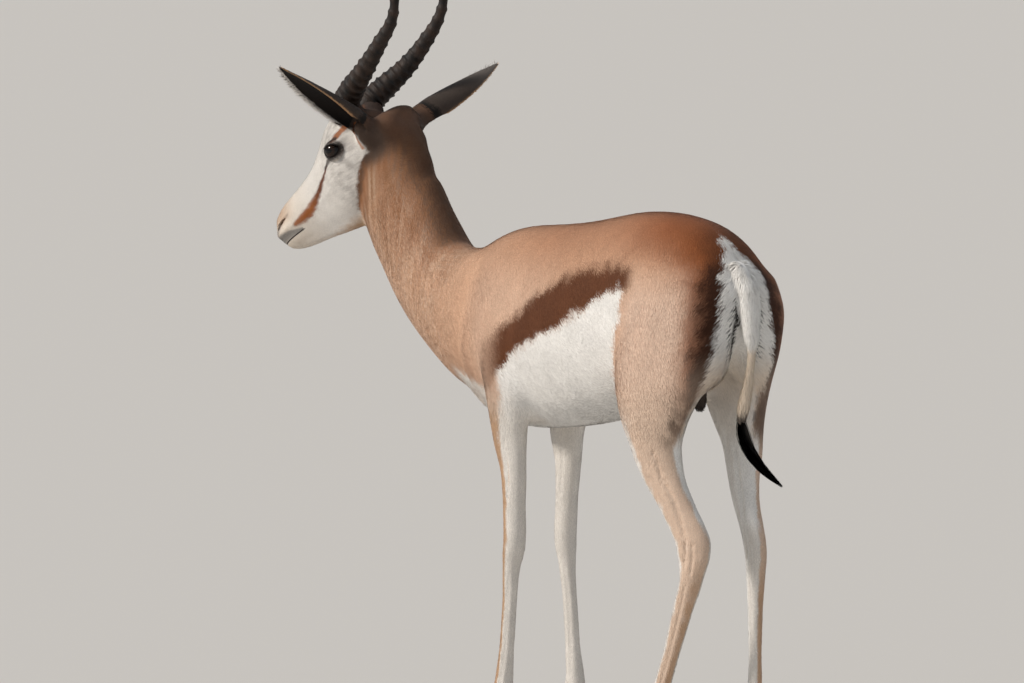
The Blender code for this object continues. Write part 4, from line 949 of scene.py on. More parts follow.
def part_of(points, normals):
    """The chart that each point of the skin belongs to, by number."""
    names = list(CHARTS)
    found = np.zeros(len(points), int)
    found[on_head(points) > 0.5] = names.index("head")
    for name in LEG_PATHS:
        way = 1 if name.endswith("left") else -1
        fore = name.startswith("fore")
        here = (points[:, 0] * way > 0) & (points[:, 2] < (0.50 if fore else 0.53))
        here &= (points[:, 1] < 0.15) if fore else (points[:, 1] > 0.25)
        here &= np.abs(points[:, 0]) > (0.018 if fore else 0.022)
        below = (points[:, 2] < 0.42) & (points[:, 0] * way > 0) & ((points[:, 1] < 0.2) == fore)
        found[here | below] = names.index(name)
    found[in_tail(points) > 0.5] = names.index("tail")
    for name in EARS:
        start, along, length, side, out = ear_frame(*EARS[name])
        gap = points - start
        reach = gap @ along
        beside = np.linalg.norm(gap - np.outer(reach, along), axis=1)
        ear = (reach > 0.030) & (reach < length + 0.01) & (beside < 0.040)
        found[ear] = names.index(name + "_back")
        found[ear & (ear_place(points, name)[2] > 0)] = names.index(name + "_inside")
    return found


def in_tail(points):
    """1 on the tail, 0 on the rump."""
    depth = np.full(len(points), -9.0)
    for first, second in zip(np.array(TAIL)[:-1], np.array(TAIL)[1:]):
        step = second[:3] - first[:3]
        share = np.clip((points - first[:3]) @ step / (step @ step), 0, 1)
        far = np.linalg.norm(points - first[:3] - share[:, None] * step, axis=1)
        depth = np.maximum(depth, 1 - far / (first[3] + share * (second[3] - first[3])))
    return smooth_step(depth, -0.10, 0.02) * smooth_step(-points[:, 2], -0.700, -0.690)


def ear_place(points, name):
    """Share of an ear's length, place from its rear rim (-1) to its front rim (1), and depth in the cup."""
    start, along, length, side, out = ear_frame(*EARS[name])
    gap = points - start
    share = np.clip(gap @ along / length, 0, 1)
    rows = eased(EAR_SECTIONS, 60)
    wide, deep, wrap = [np.interp(share, rows[:, 0], rows[:, k]) for k in (1, 2, 3)]
    a = np.radians(wrap)
    scale = np.maximum(wide / np.sin(np.minimum(a, pi / 2)), 0.001)
    x = gap @ side / scale
    y = np.cos(a) - gap @ out * (1 - np.cos(a)) / deep
    turn = np.arctan2(x, y) / a * np.sign(side @ HEAD_AXES[0])
    return share, turn, 1 - np.hypot(x, y) - EAR_THICK * 0.35 / scale


def corners(mesh):
    """The three point numbers of every triangle."""
    values = np.empty(len(mesh.polygons) * 3, np.int32)
    mesh.polygons.foreach_get("vertices", values)
    return values.reshape(-1, 3)


def unwrap(mesh):
    points, normals, tris = coordinates(mesh), coordinates(mesh, "normal"), corners(mesh)
    middles = points[tris].mean(1)
    part = part_of(middles, unit(normals[tris].sum(1)))
    sheet = np.zeros((len(tris), 3, 2))
    for number, (line, first, second, (left, low, right, high)) in enumerate(CHARTS.values()):
        mine = np.flatnonzero(part == number)
        flat = points[tris[mine]].reshape(-1, 3)
        along, turn = spread(flat, line, np.array(first), np.array(second))
        turn = turn.reshape(-1, 3)
        over = turn.max(1) - turn.min(1) > 0.5
        turn[over] = np.where(turn[over] < 0.5, turn[over] + 1, turn[over])
        sheet[mine, :, 0] = left + (right - left) * np.clip(along.reshape(-1, 3), 0, 1)
        sheet[mine, :, 1] = low + (high - low) * turn / 1.04
    return sheet, part


bm = bmesh.new()
bm.from_mesh(skin.data)
bmesh.ops.triangulate(bm, faces=bm.faces)
bm.to_mesh(skin.data)
bm.free()
skin_sheet, skin_part = unwrap(skin.data)
sheet_map = skin.data.uv_layers.new(name="OFBake")
sheet_map.data.foreach_set("uv", skin_sheet.astype(np.float32).ravel())
print("charts:", {name: int((skin_part == k).sum()) for k, name in enumerate(CHARTS)})

# %% [markdown]
# A springbok's markings are painted by rules, not by a picture. Each rule says where on the body a colour lies, as an
# animal painter would: above this line, inside that patch, fading over so many millimetres. Some rules paint light and
# shade as well: shade on the nape, the upper neck, the crown, under the jaw, round the eye, on the ears and in the
# cleft beside the tail, and light on the front of the neck. The same rules colour the skin and every hair tuft, so both
# always agree, from every side.

# %% Colours of the coat
# The colours of the nape, crown and jaw and of the ear backs and insides are darkened as painted shade, and bare also
# fills the cleft beside the tail as painted shadow.
HAIR = {
    "fawn": "#D2A98B", "back": "#AC7450", "croup": "#955329", "pale fawn": "#E1C3AD",
    "neck": "#B78D6F", "nape": "#553C2C", "throat": "#E6D2BC", "streak": "#85603F",
    "white": "#F3F0EB", "face white": "#E9E4DD", "cream": "#DCC6AA", "flank stripe": "#65391D",
    "rump band": "#3F200D", "leg": "#DFC6B0", "leg white": "#E8E2DA", "leg front": "#C0966F",
    "inner thigh": "#CFC3B4", "grey": "#97908A", "smoke": "#453C38", "rust": "#A8622E",
    "face stripe": "#6C3C24", "crown": "#6E5140", "jaw": "#C39D76", "lip": "#86837F",
    "shaded ear back": "#4A3F38", "ear rim": "#CFA67C", "shaded ear inside": "#1A1614", "bare": "#1C1613",
}


def linear(code):
    """A colour written as sRGB hex, as linear light."""
    channels = [int(code[i:i + 2], 16) / 255 for i in (1, 3, 5)]
    return [c / 12.92 if c <= 0.04045 else ((c + 0.055) / 1.055) ** 2.4 for c in channels]


def mottle(points, size, seed):
    """Soft irregular patches of about the given size, from -1 to 1."""
    rng = np.random.default_rng(seed)
    total = np.zeros(len(points))
    for turn in range(7):
        way = unit(rng.normal(size=3)) * 2 * pi / (size * rng.uniform(0.7, 1.6))
        total += np.sin(points @ way + rng.uniform(0, 2 * pi))
    return np.clip(total / 3.2, -1, 1)


def paint(colours, mask, name):
    """Lay a named colour over the others where the mask is 1."""
    mask = np.clip(mask, 0, 1)[:, None]
    colours[:] = colours * (1 - mask) + np.array(linear(HAIR[name])) * mask


def read(rows, values):
    rows = np.array(rows)
    return np.interp(values, rows[:, 0], rows[:, 1])


def stroke(first, second, rows):
    """How deep each point lies inside a brush stroke: 1 on its line, 0 at its edge.

    The rows give the line's two coordinates and its half width.
    """
    best = np.full(len(first), -9.0)
    for (a, b, r), (c, d, q) in zip(rows[:-1], rows[1:]):
        share = np.clip(((first - a) * (c - a) + (second - b) * (d - b)) / ((c - a)**2 + (d - b)**2), 0, 1)
        far = np.hypot(first - a - share * (c - a), second - b - share * (d - b))
        best = np.maximum(best, 1 - far / (r + share * (q - r)))
    return best


# %% Rules for the body
STRIPE_TOP = [(-0.03, 0.560), (0.000, 0.572), (0.028, 0.596), (0.063, 0.620), (0.118, 0.652),
              (0.170, 0.677), (0.217, 0.693), (0.273, 0.700), (0.324, 0.704), (0.350, 0.700)]
WHITE_TOP = [(-0.160, 0.540), (-0.126, 0.528), (-0.060, 0.514), (0.000, 0.498), (0.027, 0.535),
             (0.063, 0.563), (0.105, 0.584), (0.169, 0.606), (0.229, 0.634), (0.269, 0.658), (0.309, 0.668)]
THIGH_EDGE = [(0.440, 0.262), (0.513, 0.262), (0.546, 0.281), (0.595, 0.300), (0.627, 0.314), (0.670, 0.318)]
RUMP_HALF = [(0.440, 0.052), (0.542, 0.056), (0.568, 0.050), (0.606, 0.043), (0.640, 0.039),
             (0.685, 0.031), (0.712, 0.020), (0.735, 0.012), (0.748, 0.004), (0.756, 0.0)]


def in_shaded_cleft(points):
    """1 in the cleft beside the root of the tail, where a dark shadow is painted."""
    cleft = stroke(np.abs(points[:, 0]), points[:, 2],
                   [(0.012, 0.672, 0.003), (0.014, 0.645, 0.006), (0.015, 0.610, 0.006), (0.018, 0.585, 0.003)])
    return smooth_step(cleft, -0.1, 0.4) * smooth_step(points[:, 1], 0.44, 0.46)


def paint_body(colours, points, normals):
    x, y, z = np.abs(points[:, 0]), points[:, 1], points[:, 2]
    outward = normals[:, 0] * np.sign(points[:, 0])
    soft = 0.005 * mottle(points, 0.018, 1) + 0.003 * mottle(points, 0.006, 2)
    spine = read([(row[0], row[1]) for row in TRUNK], y)
    paint(colours, smooth_step(z, spine - 0.110, spine - 0.010) * smooth_step(y, -0.14, 0.10) * 0.65, "back")
    paint(colours, smooth_step(z, spine - 0.075, spine - 0.010) * smooth_step(y, 0.20, 0.38) * 0.9, "croup")
    low_side = 1 - smooth_step(z, 0.635, 0.720)
    paint(colours, low_side * smooth_step(y, 0.28, 0.36), "pale fawn")
    paint(colours, low_side * smooth_step(y, -0.10, -0.02) * (1 - smooth_step(y, 0.10, 0.22)) * 0.4, "pale fawn")
    top, low = read(STRIPE_TOP, y) + soft, read(WHITE_TOP, y) + soft
    stripe = (1 - smooth_step(z, top - 0.014, top + 0.008)) * smooth_step(z, low - 0.006, low + 0.006)
    stripe = stripe * smooth_step(y, 0.000, 0.045) * (1 - smooth_step(y, 0.318, 0.350))
    paint(colours, stripe * smooth_step(x, 0.03, 0.05), "flank stripe")
    shoulder = stroke(y, z, [(0.055, 0.585, 0.034), (0.015, 0.560, 0.034), (-0.004, 0.530, 0.028)])
    paint(colours, smooth_step(shoulder, -0.1, 0.7) * smooth_step(x, 0.05, 0.07) * 0.45, "flank stripe")
    edge = read(THIGH_EDGE, z) + soft
    belly = (1 - smooth_step(z, low - 0.005, low + 0.005)) * (1 - smooth_step(y, edge - 0.006, edge + 0.006))
    behind_leg = smooth_step(y, 0.022, 0.038) + (1 - smooth_step(x, 0.055, 0.068)) * smooth_step(y, -0.16, -0.12)
    under = (smooth_step(-normals[:, 2], 0.35, 0.6) * smooth_step(y, -0.05, 0.0)
             * (1 - smooth_step(x, 0.050, 0.065)) * (1 - smooth_step(z, 0.56, 0.58)))
    paint(colours, np.maximum(belly * np.clip(behind_leg, 0, 1), under), "white")
    half, crest = read(RUMP_HALF, z) + soft * 0.8, smooth_step(z, 0.690, 0.735)
    out = x - half + np.maximum(0, 0.462 - y) * (0.9 - 0.75 * crest)
    rear = smooth_step(y, 0.385, 0.425) * smooth_step(z, 0.430, 0.485)
    hip = rear * smooth_step(outward, -0.25, 0.15)
    paint(colours, hip * (1 - smooth_step(out, 0.020, 0.080)) * 0.8, "croup")
    paint(colours, hip * (1 - smooth_step(out + soft * 2, 0.012, 0.044)) * (1 - 0.6 * crest), "rump band")
    patch = rear * (1 - smooth_step(out, -0.004, 0.003)) * smooth_step(y + 0.025 * crest, 0.425, 0.440)
    paint(colours, patch, "white")
    inner = smooth_step(-outward, 0.0, 0.35) * smooth_step(y, 0.25, 0.29) * (1 - patch)
    paint(colours, inner * (1 - smooth_step(z, 0.60, 0.66)), "inner thigh")
    paint(colours, patch * (1 - smooth_step(z, 0.54, 0.61)) * 0.6, "cream")
    # painted shadow: the cleft between the tail and the buttock is painted near black
    paint(colours, in_shaded_cleft(points), "bare")
    scrotum = 1 - smooth_step(np.linalg.norm((points - np.array(SCROTUM[0])) / [0.018, 0.022, 0.027], axis=1), 0.9, 1.1)
    paint(colours, scrotum * (1 - smooth_step(z, 0.530, 0.545)), "smoke")


def paint_neck(colours, points, normals):
    y, z = points[:, 1], points[:, 2]
    ahead = 1 - smooth_step(y, -0.20, -0.09)
    paint(colours, ahead * smooth_step(z, 0.63, 0.76) * 0.9, "neck")
    fine = mottle(points * [1, 1, 0.10], 0.0075, 5)
    broad = mottle(points * [1, 1, 0.20], 0.030, 6)
    # painted shade: the nape faces away from the key light, and the upper neck lies under the ears
    nape = smooth_step(normals[:, 1] + 0.12 * fine, 0.25, 0.80) * smooth_step(z, 0.63, 0.72)
    upper = smooth_step(z, 0.70, 0.84) * smooth_step(normals[:, 1], -0.5, 0.3)
    paint(colours, np.clip(fine, 0, 1) * ahead * 0.40, "throat")
    paint(colours, np.clip(-fine, 0, 1) * ahead * (0.25 + 0.35 * smooth_step(z, 0.62, 0.74)), "streak")
    paint(colours, np.clip(broad, 0, 1) * ahead * smooth_step(z, 0.62, 0.74) * 0.40, "streak")
    # painted shade: the upper neck under the ears is darkened as if in their shadow
    paint(colours, upper * ahead * 0.60, "streak")
    russet = smooth_step(normals[:, 1] + 0.3 * broad, -0.30, 0.40) * smooth_step(z, 0.60, 0.68)
    paint(colours, russet * ahead * 0.30, "croup")
    # painted shade: the nape is painted dark brown where it faces away from the light
    paint(colours, nape * ahead * 0.85, "nape")
    lit = smooth_step(-normals[:, 1] + 0.1 * fine, 0.15, 0.75) * (1 - smooth_step(z, 0.80, 0.88))
    paint(colours, lit * ahead * 0.55, "pale fawn")
    throat = smooth_step(-normals[:, 1] - 0.4 * normals[:, 2] + 0.1 * fine, 0.70, 1.0) * ahead
    paint(colours, throat * 0.85, "throat")
    paint(colours, throat * smooth_step(-z, -0.66, -0.60) * 0.8, "white")


def paint_legs(colours, points, normals):
    x, y, z = points.T
    way, x = np.sign(x), np.abs(x)
    inward, front, rear = -normals[:, 0] * way, -normals[:, 1], normals[:, 1]
    below = 1 - smooth_step(z, 0.425, 0.445)
    fore = np.maximum(below * (y < 0.17), smooth_step(x, 0.022, 0.034) * (1 - smooth_step(y, 0.050, 0.070)))
    edge = read(THIGH_EDGE, z)
    hind = np.maximum(below * (y >= 0.17), smooth_step(x, 0.014, 0.026) * smooth_step(y, edge - 0.004, edge + 0.006))
    soft = 0.12 * mottle(points, 0.02, 3) + 0.05 * mottle(points * [1, 1, 0.3], 0.006, 4)
    low = (1 - smooth_step(z + 0.05 * soft, 0.460, 0.530)) * fore
    paint(colours, low, "leg white")
    tan = smooth_step(0.574 * front - 0.819 * inward + 0.4 * soft, 0.72, 0.86) * low
    paint(colours, tan * 0.9, "leg front")
    paint(colours, smooth_step(inward, 0.0, 0.4) * low * (1 - tan), "leg white")
    low = (1 - smooth_step(z, 0.480, 0.600)) * hind
    paint(colours, low * 0.75, "leg")
    paint(colours, smooth_step(inward + soft, 0.15, 0.50) * low, "leg white")
    dark = smooth_step(rear + soft - 0.6 * np.maximum(inward, 0), 0.50, 0.85) * hind
    paint(colours, dark * smooth_step(z, 0.440, 0.485) * (1 - smooth_step(z, 0.50, 0.56)) * 0.7, "rump band")
    paint(colours, dark * (1 - smooth_step(z, 0.24, 0.32)) * 0.65, "leg front")
    paint(colours, smooth_step(front + soft, 0.02, 0.28) * (1 - smooth_step(z, 0.45, 0.52)) * hind * 0.9, "white")
    line = smooth_step(rear + 0.9 * inward + soft, 0.60, 0.90) * hind * (1 - smooth_step(z, 0.45, 0.485))
    paint(colours, line * smooth_step(z, 0.33, 0.36), "white")
    paint(colours, (1 - smooth_step(z, 0.045, 0.100)) * 0.35, "leg front")


# %% Rules for the head, ears and tail
CHEEK_EDGE = [(-0.110, 0.128), (-0.094, 0.1225), (-0.078, 0.115), (-0.060, 0.100), (-0.043, 0.084),
              (-0.031, 0.067), (-0.022, 0.052), (-0.005, 0.046), (0.010, 0.050), (0.025, 0.066), (0.045, 0.088)]
FACE_STRIPE = [(0.122, -0.006, 0.0024), (0.130, -0.011, 0.0028), (0.144, -0.019, 0.0044), (0.159, -0.028, 0.0062),
               (0.177, -0.037, 0.0084), (0.190, -0.042, 0.0090), (0.205, -0.0435, 0.0076),
               (0.219, -0.0445, 0.0040)]
EAR_STREAK = [(0.045, 0.018, 0.003), (0.053, 0.004, 0.004), (0.054, -0.018, 0.003)]
EYE_S = EYE_PLACE[0] * cos(HEAD_PITCH) - EYE_PLACE[2] * sin(HEAD_PITCH)
EYE_N = EYE_PLACE[0] * sin(HEAD_PITCH) + EYE_PLACE[2] * cos(HEAD_PITCH)


def paint_head(colours, points):
    s, side, n = to_skull(points).T
    across = np.abs(side)
    soft = 0.0018 * mottle(points, 0.009, 8)
    # painted shade: the crown behind the horns is painted a darker brown, as if shaded
    paint(colours, smooth_step(n, -0.060, 0.000) * (1 - smooth_step(s, 0.07, 0.10)) * 0.85, "crown")
    bases = from_head(np.array(HORN_PATH)[:1, :3] * [[1, 1, 1], [1, -1, 1]])
    base = np.linalg.norm(points[:, None] - bases[None], axis=2).min(1)
    paint(colours, (1 - smooth_step(base, 0.030, 0.042)) * 0.9, "smoke")
    # painted shade: round the roots of the ears the skin takes the dark shaded colour of the ear backs
    for root, _, _ in EARS.values():
        far = np.linalg.norm(points - from_head([root])[0], axis=1)
        paint(colours, (1 - smooth_step(far, 0.022, 0.044)) * 0.8, "shaded ear back")
    white = smooth_step(s - read(CHEEK_EDGE, n) + soft, -0.0030, 0.0040)
    paint(colours, white, "face white")
    lay = np.stack([s * 0.22, side, n], -1)
    flecks = smooth_step(0.6 * mottle(lay, 0.004, 9) + 0.8 * mottle(points, 0.014, 10), -1.0, 1.5)
    cheek = 0.10 + 0.45 * smooth_step(-s, -0.150, -0.10)
    paint(colours, white * smooth_step(across, 0.01, 0.03) * flecks * cheek, "grey")
    paint(colours, white * smooth_step(s, 0.16, 0.24) * 0.45, "cream")
    # painted shade: the lower edge of the jaw is painted tan, as if in shadow
    paint(colours, (1 - smooth_step(n + soft, -0.100, -0.080)) * white * 0.9, "jaw")
    crown = stroke(s, side, [(0.060, 0.0, 0.020), (0.080, 0.0, 0.016), (0.100, 0.0, 0.010)])
    paint(colours, smooth_step(crown, 0.0, 0.6) * smooth_step(n, 0.02, 0.04) * 0.55, "rust")
    fray = 0.15 * mottle(lay, 0.004, 13)
    stripe = smooth_step(stroke(s + soft * 0.6, n, FACE_STRIPE) + fray, -0.25, 0.75) * smooth_step(across, 0.008, 0.014)
    paint(colours, stripe * (1 - 0.35 * smooth_step(s, 0.195, 0.222)), "face stripe")
    paint(colours, stripe * smooth_step(s, 0.155, 0.19) * 0.75, "rust")
    tilted = LID_TILT + HEAD_PITCH
    ahead, above = s - EYE_S, n - EYE_N
    ring = np.hypot((ahead * cos(tilted) + above * sin(tilted)) / OPENING[0],
                    (above * cos(tilted) - ahead * sin(tilted)) / OPENING[1])
    beside = smooth_step(across, 0.018, 0.026)
    # dark skin round the eye, deepened with painted shade
    paint(colours, (1 - smooth_step(ring, 1.20, 1.80)) * beside * 0.85, "smoke")
    brow = stroke(s + soft, n, [(0.062, 0.024, 0.0045), (0.074, 0.023, 0.0055), (0.090, 0.018, 0.0050)])
    paint(colours, smooth_step(brow, 0.0, 0.5) * beside * 0.9, "rust")
    shade = stroke(s + soft, n, [(0.088, 0.018, 0.0045), (0.104, 0.017, 0.0040)])
    paint(colours, smooth_step(shade, 0.0, 0.6) * beside * 0.9, "smoke")
    # painted shade under the lower lid
    shade_under_eye = stroke(s + soft, n, [(0.104, 0.002, 0.0100), (0.119, -0.003, 0.0070), (0.127, -0.008, 0.0035)])
    paint(colours, smooth_step(shade_under_eye, 0.0, 0.8) * beside * 0.85, "smoke")
    paint(colours, (1 - smooth_step(ring, 1.10, 1.25)) * beside, "bare")
    for root, _, _ in EARS.values():
        far = np.linalg.norm(points - from_head([np.array(root) + [0.010, 0, -0.013]])[0], axis=1)
        paint(colours, (1 - smooth_step(far + soft, 0.005, 0.012)) * 0.6, "face white")
    streak = stroke(s, n, EAR_STREAK)
    paint(colours, smooth_step(streak, 0.0, 0.5) * beside * 0.8, "rust")
    lips = stroke(s, n, [(0.214, -0.0550, 0.0030), (0.234, -0.0515, 0.0070), (0.262, -0.0490, 0.0100)])
    paint(colours, smooth_step(lips, 0.0, 0.6) * 0.85, "lip")
    line = stroke(s, n, [(0.210, mouth_line(0.210), 0.0010), (0.262, mouth_line(0.262), 0.0013)])
    paint(colours, smooth_step(line, 0.0, 0.5) * 0.9, "smoke")
    nose = stroke(s, n, [(0.2260, -0.0250, 0.0030), (0.2400, -0.0305, 0.0045), (0.2540, -0.0395, 0.0050)])
    paint(colours, smooth_step(nose, 0.0, 0.6) * 0.75, "grey")
    pit = stroke(s, n, [(0.2310, -0.0275, 0.0016), (0.2430, -0.0310, 0.0028), (0.2490, -0.0350, 0.0028)])
    paint(colours, smooth_step(pit, 0.0, 0.4) * smooth_step(across, 0.008, 0.011), "bare")
    paint(colours, smooth_step(s, 0.205, 0.240) * smooth_step(n, -0.040, -0.022) * 0.55, "leg front")


def ear_rims(points, name):
    """1 on the rim at the front, and 1 on the rim at the back, of one ear, and the share of its length."""
    share, turn, _ = ear_place(points, name)
    grown = smooth_step(share, 0.16, 0.26)
    return smooth_step(turn, 0.88, 0.96) * grown, smooth_step(-turn, 0.90, 0.97) * grown, share


def paint_ears(colours, points, part):
    names = list(CHARTS)
    for name in EARS:
        front, rear, share = ear_rims(points, name)
        back, inside = part == names.index(name + "_back"), part == names.index(name + "_inside")
        # painted shade and light: the ear backs are dark as if shaded and lighter grey toward the tips as if lit, and
        # the cups are near black as if in shadow
        paint(colours, back * smooth_step(share, 0.05, 0.25), "shaded ear back")
        paint(colours, back * smooth_step(share, 0.55, 0.95) * 0.35, "grey")
        paint(colours, 1.0 * inside, "shaded ear inside")
        paint(colours, (back | inside) * rear, "ear rim")
        paint(colours, (back | inside) * front, "white")


def paint_tail(colours, points, part):
    mask = np.maximum(in_tail(points), part == list(CHARTS).index("tail"))
    paint(colours, mask, "white")
    paint(colours, mask * (1 - smooth_step(points[:, 2], 0.585, 0.605)) * 0.75, "cream")
    paint(colours, mask * (1 - smooth_step(points[:, 2], 0.500, 0.512)) * 0.9, "smoke")


def markings(points, normals, part):
    """The coat's colour at each place of the skin."""
    colours = np.tile(np.array(linear(HAIR["fawn"])), (len(points), 1))
    paint_body(colours, points, normals)
    paint_neck(colours, points, normals)
    paint_legs(colours, points, normals)
    head = colours.copy()
    paint_head(head, points)
    colours = np.where((on_head(points) > 0.01)[:, None], head, colours)
    paint_ears(colours, points, part)
    paint_tail(colours, points, part)
    return colours * (1 + 0.04 * mottle(points, 0.03, 11))[:, None]


def point_parts(mesh, face_part):
    """The chart number at each point, from the faces round it."""
    found = np.zeros(len(mesh.vertices), int)
    found[corners(mesh).ravel()] = np.repeat(face_part, 3)
    return found


# %% [markdown]
# Under the thin coat of the legs the tendons stand clear of the bones. Long
# shallow grooves between them are pressed into the skin.

# %% Grooves between tendons and bones
GROOVES = {                          # place behind the leg's middle line, height and half width; depth
    "fore": [([(0.010, 0.44, 0.006), (0.004, 0.36, 0.005)], 0.0010),
             ([(0.006, 0.255, 0.004), (0.006, 0.10, 0.004)], 0.0009)],
    "hind": [([(0.017, 0.45, 0.003), (0.016, 0.384, 0.006), (0.004, 0.335, 0.005), (-0.002, 0.300, 0.004)], 0.0024),
             ([(0.012, 0.325, 0.004), (0.009, 0.285, 0.003)], 0.0014),
             ([(0.004, 0.270, 0.004), (0.004, 0.12, 0.004)], 0.0010)],
}


def groove_depth(points, normals):
    depth = np.zeros(len(points))
    for name, path in LEG_PATHS.items():
        way, fore = (1 if name.endswith("left") else -1), name.startswith("fore")
        path = np.array(path)[::-1]
        behind = points[:, 1] - np.interp(points[:, 2], path[:, 0], path[:, 2])
        here = (points[:, 0] * way > 0.01) & ((points[:, 1] < 0.2) == fore) & (points[:, 2] < 0.50)
        for rows, deep in GROOVES["fore" if fore else "hind"]:
            found = smooth_step(stroke(behind, points[:, 2], rows), 0.0, 0.9) * deep * here
            depth = np.maximum(depth, found * smooth_step(np.abs(normals[:, 0]), 0.35, 0.75))
    return depth


skin_points, skin_normals = coordinates(skin.data), coordinates(skin.data, "normal")
skin_points = skin_points - skin_normals * groove_depth(skin_points, skin_normals)[:, None]
skin.data.vertices.foreach_set("co", skin_points.astype(np.float32).ravel())
skin.data.update()
skin_normals = coordinates(skin.data, "normal")
print("deepest groove:", round(1000 * groove_depth(skin_points, skin_normals).max(), 2), "mm")

# %% Paint the skin
skin_colours = markings(skin_points, skin_normals, point_parts(skin.data, skin_part))
print("markings on", len(skin_colours), "points of the skin")

# %% [markdown]
# Hair is made as small flat tufts, each a blade of three triangles that starts
# just under the skin, lies back along the body and ends in a point. Thousands
# of them in one mesh overlap like a real short coat. A mesh from arrays was
# chosen because particle hair is lost when the model is exported.

# %% The lie of the coat
def lie_of_coat(points, normals, part):
    """The way the hair points, along the skin, at each place."""
    y, z = points[:, 1], points[:, 2]
    down = 0.25 + 0.45 * smooth_step(np.abs(points[:, 0]), 0.04, 0.09)
    way = np.stack([0.15 * np.sign(points[:, 0]), 0.9 + 0 * y, -down], -1)
    neck_part = (1 - smooth_step(y, -0.20, -0.08))[:, None]
    way = way * (1 - neck_part) + np.array([0, 0.42, -0.9]) * neck_part
    rear = smooth_step(y, 0.30, 0.44)[:, None]
    way = way * (1 - rear) + np.array([0, 0.35, -0.95]) * rear
    rump = (smooth_step(y, 0.44, 0.47) * smooth_step(z, 0.50, 0.54))[:, None]
    out = np.stack([0.7 * np.sign(points[:, 0]), 0 * y, -0.7 + 0 * y], -1)
    way = way * (1 - rump) + out * rump
    names = list(CHARTS)
    for name in LEG_PATHS:
        down = ((part == names.index(name)) * (1 - smooth_step(z, 0.46, 0.56)))[:, None]
        way = way * (1 - down) + np.array([0, 0.12, -1.0]) * down
    head = on_head(points)[:, None]
    back = from_skull([(-1, 0, -0.12)])[0] - np.array(POLL)
    way = way * (1 - head) + back * head
    for name in EARS:
        along, _, side = ear_frame(*EARS[name])[1:4]
        front, rear, _ = ear_rims(points, name)
        beyond = side * np.sign(side @ HEAD_AXES[0])
        here = ((part == names.index(name + "_back")) | (part == names.index(name + "_inside")))[:, None]
        way = np.where(here, along + (front - rear * 0.4)[:, None] * beyond, way)
    tail = in_tail(points)[:, None]
    way = way * (1 - tail) + np.array([0, 0.02, -1.0]) * tail
    way = way - normals * (way * normals).sum(1)[:, None]
    return unit(way)


# %% Sizes of the tufts
# length, width and rise in mm, then tufts for each square centimetre
TUFTS = {
    "body": (8.0, 0.90, 0.50, 46), "rump": (15.0, 1.1, 1.9, 50), "belly": (9.0, 1.0, 0.65, 44),
    "neck": (9.0, 0.85, 0.70, 40), "leg": (5.0, 0.80, 0.35, 46), "head": (3.6, 0.65, 0.35, 66),
    "muzzle": (2.0, 0.50, 0.20, 100), "ear": (4.0, 0.60, 0.25, 80), "rim": (9.0, 0.40, 0.8, 260),
    "tail": (14.0, 0.9, 2.4, 90), "tail end": (9.0, 0.7, 1.6, 80), "cleft": (3.0, 0.8, 0.3, 60),
}


def tuft_sizes(points, part):
    """Length, width, rise and number of tufts at each place."""
    y, z = points[:, 1], points[:, 2]
    names = list(CHARTS)
    rows = np.tile(np.array(TUFTS["body"]), (len(points), 1))

    def use(mask, name):
        mask = np.clip(mask, 0, 1)[:, None]
        rows[:] = rows * (1 - mask) + np.array(TUFTS[name]) * mask

    use(1 - smooth_step(y, -0.20, -0.08), "neck")
    use(1 - smooth_step(z, read(WHITE_TOP, y) - 0.02, read(WHITE_TOP, y)), "belly")
    use(smooth_step(y, 0.435, 0.455) * (1 - smooth_step(np.abs(points[:, 0]), read(RUMP_HALF, z) - 0.002,
                                                         read(RUMP_HALF, z) + 0.006)), "rump")
    legs = np.isin(part, [names.index(name) for name in LEG_PATHS])
    use(legs * (1 - smooth_step(z, 0.40, 0.52)), "leg")
    ahead = (points - np.array(NECK_CUT[0])) @ unit(np.array(NECK_CUT[1]))
    use(smooth_step(ahead, -0.03, 0.05), "head")
    use(on_head(points) * smooth_step(to_skull(points)[:, 0], 0.17, 0.235), "muzzle")
    for name in EARS:
        ear = (part == names.index(name + "_back")) | (part == names.index(name + "_inside"))
        use(1.0 * ear, "ear")
        use(ear * ear_rims(points, name)[0], "rim")
    use(in_shaded_cleft(points), "cleft")
    use(in_tail(points) * (1 - smooth_step(z, 0.655, 0.690)), "tail")
    use(in_tail(points) * (1 - smooth_step(z, 0.590, 0.605)), "tail end")
    return rows


def bald(points):
    """1 where no hair grows: nostrils, lips, rims of the eyes, inside the mouth."""
    s, side, n = to_skull(points).T
    pit = stroke(s, n, [(0.2310, -0.0275, 0.0020), (0.2430, -0.0310, 0.0034), (0.2500, -0.0355, 0.0034)])
    line = stroke(s, n, [(0.210, mouth_line(0.210), 0.0012), (0.262, mouth_line(0.262), 0.0015)])
    bare = np.maximum(1.0 * (pit > 0) * (np.abs(side) > 0.008), 1.0 * (line > 0))
    for way in (1, -1):
        gap = points - from_head([(EYE_PLACE[0], EYE_PLACE[1] * way, EYE_PLACE[2])])[0]
        local = gap @ HEAD_AXES.T
        x = local[:, 0] * cos(LID_TILT) + local[:, 2] * sin(LID_TILT)
        z = local[:, 2] * cos(LID_TILT) - local[:, 0] * sin(LID_TILT)
        opening = np.hypot(x / OPENING[0], z / OPENING[1]) < 1.14
        inside = np.linalg.norm(local, axis=1) < EYE_RADIUS + 0.0008
        bare = np.maximum(bare, 1.0 * ((opening & (local[:, 1] * way > -0.004)) | inside))
    return bare


# %% Plant the tufts
RNG = np.random.default_rng(6)
DENSER = 1.0


